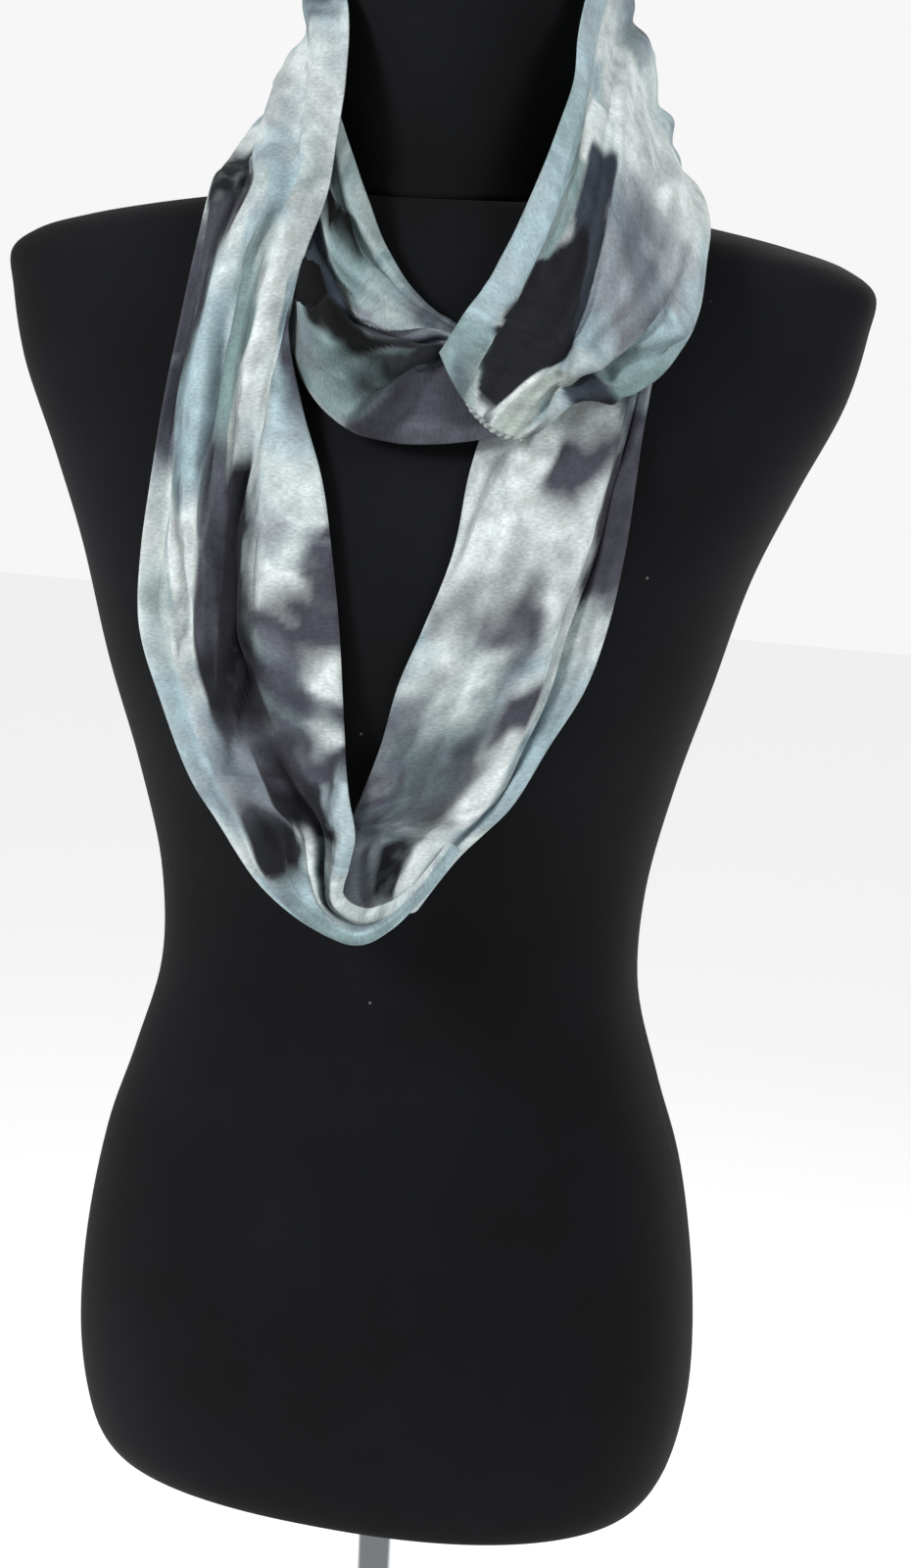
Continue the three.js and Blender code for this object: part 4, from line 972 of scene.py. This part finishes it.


# Patches that were drawn over the dips: the dye, its strength, how far it bled, in lines, and the fold
# lines between which it lies, at places along the strip. The darkest of them are painted shadow.
FIRST_PATCHES = [
    ("slate", 0.8, 1.8, [(1.2, 7.6, 13), (2.6, 8, 13), (3.4, 9, 13)]),
    # painted shade over the knot's lower edge
    ("painted_shadow", 0.4, 2, [(-1, -2, 1.8), (3.6, -2, 0.8)]),
    # the rolled third strip of the knot, and a line of painted shadow under its hem
    ("slate", 1.1, 0.4, [(2, 6.4, 7.2), (2.7, 5.9, 6.8), (3.3, 5.5, 6.5), (3.9, 5.5, 6.5), (4.4, 6.1, 7.4),
                         (4.95, 6.6, 8), (5.35, 6.8, 8.1), (6.6, 6.6, 7.8)]),
    ("painted_shadow", 0.8, 0.25, [(2.5, 7.6, 7.9), (3, 6.9, 7.2), (3.55, 6.3, 6.7), (3.85, 6, 6.4), (4, 6.2, 6.6),
                        (4.2, 6.8, 7.2), (4.5, 7.4, 7.8), (5, 7.7, 8.1), (5.6, 7.2, 7.5)]),
    # painted shadow in the hollows beside it, and painted shade that leads up to the dark corner of the big
    # fold
    ("painted_shadow", 1.1, 0.35, [(4.45, 9.5, 9.6), (4.85, 9.35, 9.85), (5.25, 9.2, 9.8), (5.8, 9.1, 9.5),
                        (6.4, 9.1, 9.4)]),
    ("painted_shadow", 1.1, 0.5, [(2.8, 5.1, 5.2), (3.4, 4.6, 5.1), (3.75, 4.2, 5.2), (4.1, 4.4, 5.6), (4.6, 4.8, 6.1),
                       (5.05, 4.9, 6.3), (5.42, 5, 6.6), (6, 5.2, 6.7), (6.8, 5.2, 6.7)]),
    ("painted_shadow", 0.8, 0.8, [(2.1, 3.6, 4.2), (2.4, 3.2, 4.1), (2.8, 2.6, 3.8), (3.1, 1.8, 3), (3.4, 1.1, 2.1),
                       (3.65, 0.4, 1.1)]),
]
SECOND_PATCHES = [
    # the dark hollow down the middle of the left side
    ("black", 1.1, 0.8, [(8.8, 4.6, 9.6), (9.4, 4.4, 10.1), (10, 4.8, 10.3), (10.8, 5.2, 10.3),
                         (11.5, 6.4, 10.1), (11.9, 7.4, 9.8), (12.3, 8, 9.4)]),
    ("purple", 0.9, 0.7, [(9.8, 4.8, 6.6), (10.6, 5, 7.2), (11.6, 5.2, 7.6), (12.6, 5.6, 7.8)]),
    # the right shoulder: slate above, then the black patch down to the hemmed end
    ("slate", 1.1, 0.3, [(29.6, 7.1, 9.3), (29.9, 7, 9.4), (30.6, 7.1, 9.4), (31.4, 6.9, 9.4),
                         (32.6, 6.8, 8.8), (33.4, 6.4, 7.6), (34, 5.4, 6.4)]),
    ("teal", 0.9, 0.3, [(30.2, 9.4, 10.3), (31.6, 9.4, 10.3), (32.8, 9.7, 10.3)]),
    ("black", 1.2, 0.4, [(31.5, 8.2, 8.9), (32.2, 7.7, 9.4), (32.6, 7.4, 9.7), (32.9, 7.1, 10.4),
                         (33.4, 7, 10.4), (34, 5.8, 10.4), (34.5, 5.1, 10.3), (35, 5.5, 10.1),
                         (35.35, 6, 9.8), (35.7, 6.9, 8.8)]),
    ("bone", 0.95, 0.5, [(34.4, 2.4, 4), (35, 2.3, 4.8), (35.4, 2, 5.4), (35.8, 1.4, 6), (36.2, 1.4, 6)]),
    ("slate", 0.9, 0.6, [(35.75, 6.4, 7.6), (36.2, 6.2, 7.8)]),
    ("slate", 0.8, 0.6, [(35.7, -1, 1.2), (36.2, -1, 1.6)]),
    ("teal", 0.7, 0.7, [(34.9, 10.2, 12.5), (35.3, 9.8, 12.5), (35.8, 8.8, 12.5), (36.3, 8.4, 12.5)]),
    ("slate", 0.6, 0.8, [(35.5, 10, 11.4), (36, 9.4, 11), (36.3, 9, 11)]),
    # the roll, and the pocket behind its tip, which is darkened with painted shade
    ("teal", 0.55, 0.6, [(31, -1, 0.6), (31.6, -1, 1.4), (32.4, -1, 2), (33.2, -1, 2.4), (33.9, -1, 2.8)]),
    ("slate", 1.1, 0.3, [(34.02, -1, 2.8), (34.3, -1, 2.9), (34.7, -1, 2.4), (35.05, -1, 1.5)]),
    ("painted_shadow", 0.9, 0.5, [(34.02, -1, 0.8), (34.5, -1, 0.8), (35, -1, 0.6)]),
]


def cloudy(point, size, detail=3):
    """Soft noise about zero with blots of the given size in millimetres."""
    return noise.fractal(Vector(point) / size, 1.0, 2.0, detail, noise_basis="PERLIN_ORIGINAL")


def mixed(color, dye_name, amount, mottle=1):
    return color * (1 - amount) + np.array(DYES[dye_name]) * mottle * amount


# Sizes of the blots, in millimetres, and how far they are drawn out of round.
DARK_BLOTS, COOL_BLOTS = 42, 50
WARP, WARP_SIZE = 14, 38


def dyed(across, along, wild, seed):
    """The dye's run at a place on the cloth. Where it isn't wild it stays pale, for the dips."""
    warp = WARP * cloudy((across, along, seed + 40), WARP_SIZE)
    dark = cloudy((across + warp, along * 0.8 - warp, seed), DARK_BLOTS)
    cool = cloudy((across - warp, along * 0.8 + warp, seed + 200), COOL_BLOTS)
    color = mixed(np.array(DYES["white"]), "blue", np.clip(cool * 2.2 + 0.45, 0, 1))
    color = mixed(color, "teal", np.clip(cool * 3.0 - 0.5, 0, 0.8))
    color = mixed(color, "grey", (1 - wild) * np.clip(dark * 2.5 - 0.1, 0, 0.45))
    color = mixed(color, "purple", wild * np.clip(dark * 4.0 - 0.1, 0, 1))
    return mixed(color, "black", wild * np.clip(dark * 4.5 - 1.1, 0, 0.9))


def window(value, low, high, soft):
    """1 between low and high, and a soft step down to 0 beyond them."""
    rise = eased(np.clip((value - low) / soft + 0.5, 0, 1))
    fall = eased(np.clip((high - value) / soft + 0.5, 0, 1))
    return rise * fall


def crepe_material():
    """Crepe: hard-twisted polyester threads that pucker into fine cross ribs, matt with a soft bloom."""
    material, tree, shader = new_material("polyester crepe, woven and tie-dyed", {
        "Roughness": 0.8, "Specular IOR Level": 0.15, "Sheen Weight": 0.06, "Sheen Roughness": 0.4})
    dye = add_node(tree, "ShaderNodeAttribute", {}, attribute_name="dye")
    place = add_node(tree, "ShaderNodeUVMap", {}, uv_map="cloth").outputs[0]
    # The crepe's puckers are about 0.5 mm by 1.2 mm; they are drawn at twice that so that they show.
    pucker = add_node(tree, "ShaderNodeMapping", {"Vector": place, "Scale": (950, 420, 1)}).outputs[0]
    grain = add_node(tree, "ShaderNodeTexNoise", {"Vector": pucker, "Scale": 1.0, "Detail": 2.0})
    bleed = add_node(tree, "ShaderNodeTexNoise", {"Vector": place, "Scale": 95.0, "Detail": 5.0})
    shade, fleck = (
        add_node(tree, "ShaderNodeMapRange", {"Value": source.outputs[0], "From Min": 0.3, "From Max": 0.7,
                                              "To Min": darkest, "To Max": lightest}).outputs[0]
        for source, darkest, lightest in ((bleed, 0.82, 1.1), (grain, 0.8, 1.12)))
    both = add_node(tree, "ShaderNodeMath", {0: shade, 1: fleck}, operation="MULTIPLY")
    color = add_node(tree, "ShaderNodeMix", {0: 1.0, 6: dye.outputs["Color"], 7: both.outputs[0]},
                     data_type="RGBA", blend_type="MULTIPLY")
    cloth_face(tree, shader, color.outputs[2], grain.outputs[0], 0.6)
    return material


crepe = crepe_material()


# The cloth's gap to the torso, and the heights between which it is kept off it.
FORM_GAP = 0.6
KEPT_OFF_FROM, KEPT_OFF_TO = BUST_HEIGHT - 130, NECK_SEAM - 3


def kept_off_form(grid):
    """Moves points that lie in the torso or against it out to its face."""
    near = (grid[..., 2] > KEPT_OFF_FROM) & (grid[..., 2] < KEPT_OFF_TO)
    face = -torso_depth(grid[..., 0], np.clip(grid[..., 2], HEM_HEIGHT, NECK_SEAM)) - CLOTH / 2 - FORM_GAP
    grid[..., 1] = np.where(near, np.minimum(grid[..., 1], face), grid[..., 1])
    return grid


# How the dyes wander from their drawn lines, in places along and fold lines across, how they bleed, and
# how blotted they are. The blots and the wandering have sizes in millimetres.
CALM_FADE = 1.5
WANDER_SIZE, BLOT_SIZE = 24, 9
DIP_WANDER_ALONG, DIP_WANDER_ACROSS, DIP_BLEED_ALONG, DIP_BLOTS = 0.6, 1.2, 0.25, 0.25
PATCH_WANDER_ALONG, PATCH_WANDER_ACROSS, PATCH_BLOTS = 0.12, 0.2, 0.15
PATCH_END, PATCH_BLEED_ALONG = 0.1, 0.6
MOTTLE = 0.28
LIGHTEST = 0.9
PAINTED_SHADE_STRENGTH = 0.55


def soaked(colors, dye_name, amount, mottle):
    """The colours after one more dye, soaked in by an amount at each point."""
    return mixed(colors, dye_name, np.clip(amount, 0, 1)[..., None], mottle)


def scarf_run(name, stretches, creases, dips, patches, calm, seed, nodes):
    """One run of the strip: its grid with the creases and the dye. It is calm in ranges of its places."""
    grid, places, turns, hidden, painted_crease_shade = laid_cloth(stretches, creases)
    grid = kept_off_form(grid)
    rows, columns = grid.shape[:2]
    along = np.repeat(lengths(grid, 0)[:, columns // 2, None], columns, axis=1)
    across = lengths(grid, 1) + hidden
    place, line = np.meshgrid(places, turns, indexing="ij")
    wild = 1 - np.max([window(places, low, high, CALM_FADE) for low, high in calm], axis=0)
    colors = np.zeros((rows, columns, 4))
    wander, blots = np.zeros((2, rows, columns))
    for cell in np.ndindex(rows, columns):
        spot = (across[cell], along[cell])
        colors[cell] = dyed(*spot, wild[cell[0]], seed)
        wander[cell] = cloudy((*spot, seed + 90), WANDER_SIZE, 2)
        blots[cell] = cloudy((*spot, seed + 130), BLOT_SIZE, 4)
    mottle = (1 + MOTTLE * blots)[..., None]
    for low, high, first, final, dye_name, strength, soft, *lean in dips:
        bleed = DIP_WANDER_ACROSS * soft
        reach = window(place + DIP_WANDER_ALONG * wander + sum(lean) * line, low, high,
                       DIP_BLEED_ALONG + soft)
        reach = reach * window(line + bleed * wander, first, final, bleed)
        colors = soaked(colors, dye_name, strength * reach * (1 + DIP_BLOTS * blots), mottle)
    near, turn = place + PATCH_WANDER_ALONG * wander, line + PATCH_WANDER_ACROSS * wander
    for dye_name, strength, soft, outline in patches:
        stops, first, final = np.array(outline, float).T
        reach = window(near, stops[0], stops[-1], PATCH_END + PATCH_BLEED_ALONG * soft)
        reach = reach * window(turn, np.interp(near, stops, first), np.interp(near, stops, final), soft)
        colors = soaked(colors, dye_name, strength * reach * (1 + PATCH_BLOTS * blots), mottle)
    colors = np.clip(colors, 0, LIGHTEST)
    # Painted shade: the cloth is darkened in its creases and beside its laps, where shade falls.
    colors[..., :3] *= (1 - PAINTED_SHADE_STRENGTH * painted_crease_shade)[..., None]
    bm, uv, cells = strip_mesh(rows, columns)
    dye = bm.verts.layers.float_color["dye"]
    for vert, cell in cells.items():
        vert.co = grid[cell]
        vert[dye] = colors[cell]
    lay_uv(bm, uv, cells, along, across)
    piece = finished(name, bm, crepe, "scarf_crepe", *nodes)
    wall = piece.modifiers.new("wall", "SOLIDIFY")
    wall.thickness = CLOTH * MM
    wall.offset = 0
    return piece, grid


first_run, first_grid = scarf_run(
    "scarf_front_and_right", [short_front, neck_inner, long_right], FIRST_CREASES, FIRST_DIPS,
    FIRST_PATCHES, [(-1, 8), (19, 31)], 3.0, ["scarf_short_front", "scarf_neck_inner", "scarf_long_right"])
second_run, second_grid = scarf_run(
    "scarf_left_and_over", [long_bottom, long_left, neck_outer, short_right], SECOND_CREASES, SECOND_DIPS,
    SECOND_PATCHES, [(-1, 19), (25, 37)], 11.0,
    ["scarf_long_bottom", "scarf_long_left", "scarf_neck_outer", "scarf_short_right"])


# Sewing: the edge that shows at the knot and the strip's end have a narrow rolled hem, oversewn all along.
# A few cut threads lie on the dark part of the right shoulder.
HEM_STEPS = 12
HEM_SIDES = 8
RINGS_A_STITCH = 5
STITCH_TWIST = 0.12
THINNEST, SWELLING = 0.8, 0.35
CHEST_WAY = (0.2, -0.8, 0.6)


def sewn_line(name, grid, path, radius, pitch, pale, dark):
    """A tube of rolled cloth along a path of places, lines and lifts, swollen and pale at each stitch."""
    knots = drawn(path, HEM_STEPS)
    points = at_place(grid, knots[:, 0], knots[:, 1])
    points += at_place(grid_normals(grid), knots[:, 0], knots[:, 1]) * knots[:, 2:3]
    run = np.concatenate([[0], np.cumsum(np.linalg.norm(np.diff(points, axis=0), axis=1))])
    spots = np.arange(0, run[-1], pitch / RINGS_A_STITCH)
    points = np.stack([np.interp(spots, run, points[:, k]) for k in range(3)], -1)
    ahead = unit(np.gradient(points, axis=0))
    aside = unit(np.cross(ahead, CHEST_WAY))
    above = np.cross(ahead, aside)
    last = len(spots) - 1
    bm, uv, cells = strip_mesh(last + 1, HEM_SIDES + 1)
    dye = bm.verts.layers.float_color["dye"]
    for vert, (i, j) in cells.items():
        stitch = 0.5 + 0.5 * math.cos(math.tau * (spots[i] / pitch + STITCH_TWIST * j))
        close = min(1, 4 * i / last, 4 - 4 * i / last) ** 0.5
        angle = math.tau * j / HEM_SIDES
        swell = radius * (THINNEST + SWELLING * stitch) * close
        vert.co = points[i] + swell * (math.cos(angle) * aside[i] + math.sin(angle) * above[i])
        vert[dye] = np.array(linear(dark)) * (1 - stitch) + np.array(linear(pale)) * stitch
    along, around = np.meshgrid(spots, radius * np.arange(HEM_SIDES + 1), indexing="ij")
    lay_uv(bm, uv, cells, along, around)
    bmesh.ops.remove_doubles(bm, verts=bm.verts, dist=0.001)
    bmesh.ops.recalc_face_normals(bm, faces=bm.faces)
    return finished(name, bm, crepe, "scarf_crepe")


KNOT_HEM = [(5.6, 7.4), (5, 8.25), (4.75, 8.1), (4.5, 8), (4.2, 7.4), (4, 6.75), (3.85, 6.55), (3.55, 6.85),
            (3, 7.4), (2.5, 8.1), (2.1, 8.9)]
END_HEM = [(35.98, line) for line in (10, 8.6, 6.5, 4.5, 2.5, 0.3)]
THREADS = [
    [(32.7, 8.1, 0.5), (32.8, 8.6, 0.9), (32.75, 9.1, 0.5), (32.95, 9.5, 1), (33.05, 10, 0.6)],
    [(32.6, 8.4, 0.6), (32.7, 8.2, 1.2), (32.5, 7.9, 0.6)],
    [(30.85, 8, 0.5), (31.1, 8.2, 0.8), (31.25, 8, 0.5)],
    [(31.9, 8.7, 0.5), (32.05, 8.5, 0.7), (32.15, 8.6, 0.5)],
    [(34.15, 9.1, 0.5), (34.25, 9.3, 0.7), (34.4, 9.2, 0.5)],
]
knot_hem = sewn_line("hem_knot", first_grid, [(*spot, 0.6) for spot in KNOT_HEM], 1, 2.6,
                     "#8E9997", "#45484B")
end_hem = sewn_line("hem_end", second_grid, [(*spot, 0.5) for spot in END_HEM], 1.3, 3.4,
                    "#A9B2AF", "#5F6668")
threads = [sewn_line(f"thread_{k + 1}", second_grid, path, 0.4, 1.2, "#D9DCDA", "#A5A8AA")
           for k, path in enumerate(THREADS)]


# The room: a floor of matt white paper in a pale room, lit softly from both sides and from behind.
# The floor lies a millimetre below the stand.
FLOOR_REACH = 8


def paper_floor():
    material, _, _ = new_material("white background paper", {
        "Base Color": linear("#F4F4F3"), "Emission Color": linear("#FFFFFF"), "Emission Strength": 0.56,
        "Roughness": 0.95})
    bm = bmesh.new()
    bmesh.ops.create_grid(bm, x_segments=1, y_segments=1, size=FLOOR_REACH)
    bmesh.ops.translate(bm, vec=(0, 0, -MM), verts=bm.verts)
    mesh = bpy.data.meshes.new("floor")
    bm.to_mesh(mesh)
    bm.free()
    mesh.materials.append(material)
    floor = bpy.data.objects.new("floor", mesh)
    bpy.context.scene.collection.objects.link(floor)


paper_floor()


def soft_light(name, place, target, size, power):
    light = bpy.data.lights.new(name, "AREA")
    light.shape = "RECTANGLE"
    light.size, light.size_y = size
    light.energy = power
    lamp = bpy.data.objects.new(name, light)
    lamp.location = place
    lamp.rotation_euler = (Vector(target) - Vector(place)).to_track_quat("-Z", "Y").to_euler()
    bpy.context.scene.collection.objects.link(lamp)


soft_light("window", (-1.3, -1.5, 2.3), (0, 0, 1.35), (0.7, 0.7), 36)
soft_light("fill", (1.7, -0.7, 2.3), (0, 0, 1.35), (0.8, 1.0), 20)
soft_light("back", (0.4, 2.2, 2.4), (0, 0, 1.3), (1.8, 1.0), 16)

ROOM_LIGHT = 0.36
BACKDROP_BRIGHTNESS = 0.97
world = bpy.data.worlds.new("pale room")
world.use_nodes = True
bpy.context.scene.world = world
sky = world.node_tree.nodes["Background"]
sky.inputs["Color"].default_value = linear("#F4F5F6")
sky.inputs["Strength"].default_value = ROOM_LIGHT
# What shows of the room is brighter than what it sheds, as an overexposed white backdrop is.
room = world.node_tree
seen = add_node(room, "ShaderNodeBackground", {"Color": linear("#FAFAFA"),
                                               "Strength": BACKDROP_BRIGHTNESS})
direct = add_node(room, "ShaderNodeLightPath", {}).outputs["Is Camera Ray"]
shown = add_node(room, "ShaderNodeMixShader", {0: direct, 1: sky.outputs[0], 2: seen.outputs[0]})
room.links.new(shown.outputs[0], room.nodes["World Output"].inputs["Surface"])
bpy.context.scene.view_settings.view_transform = "Standard"
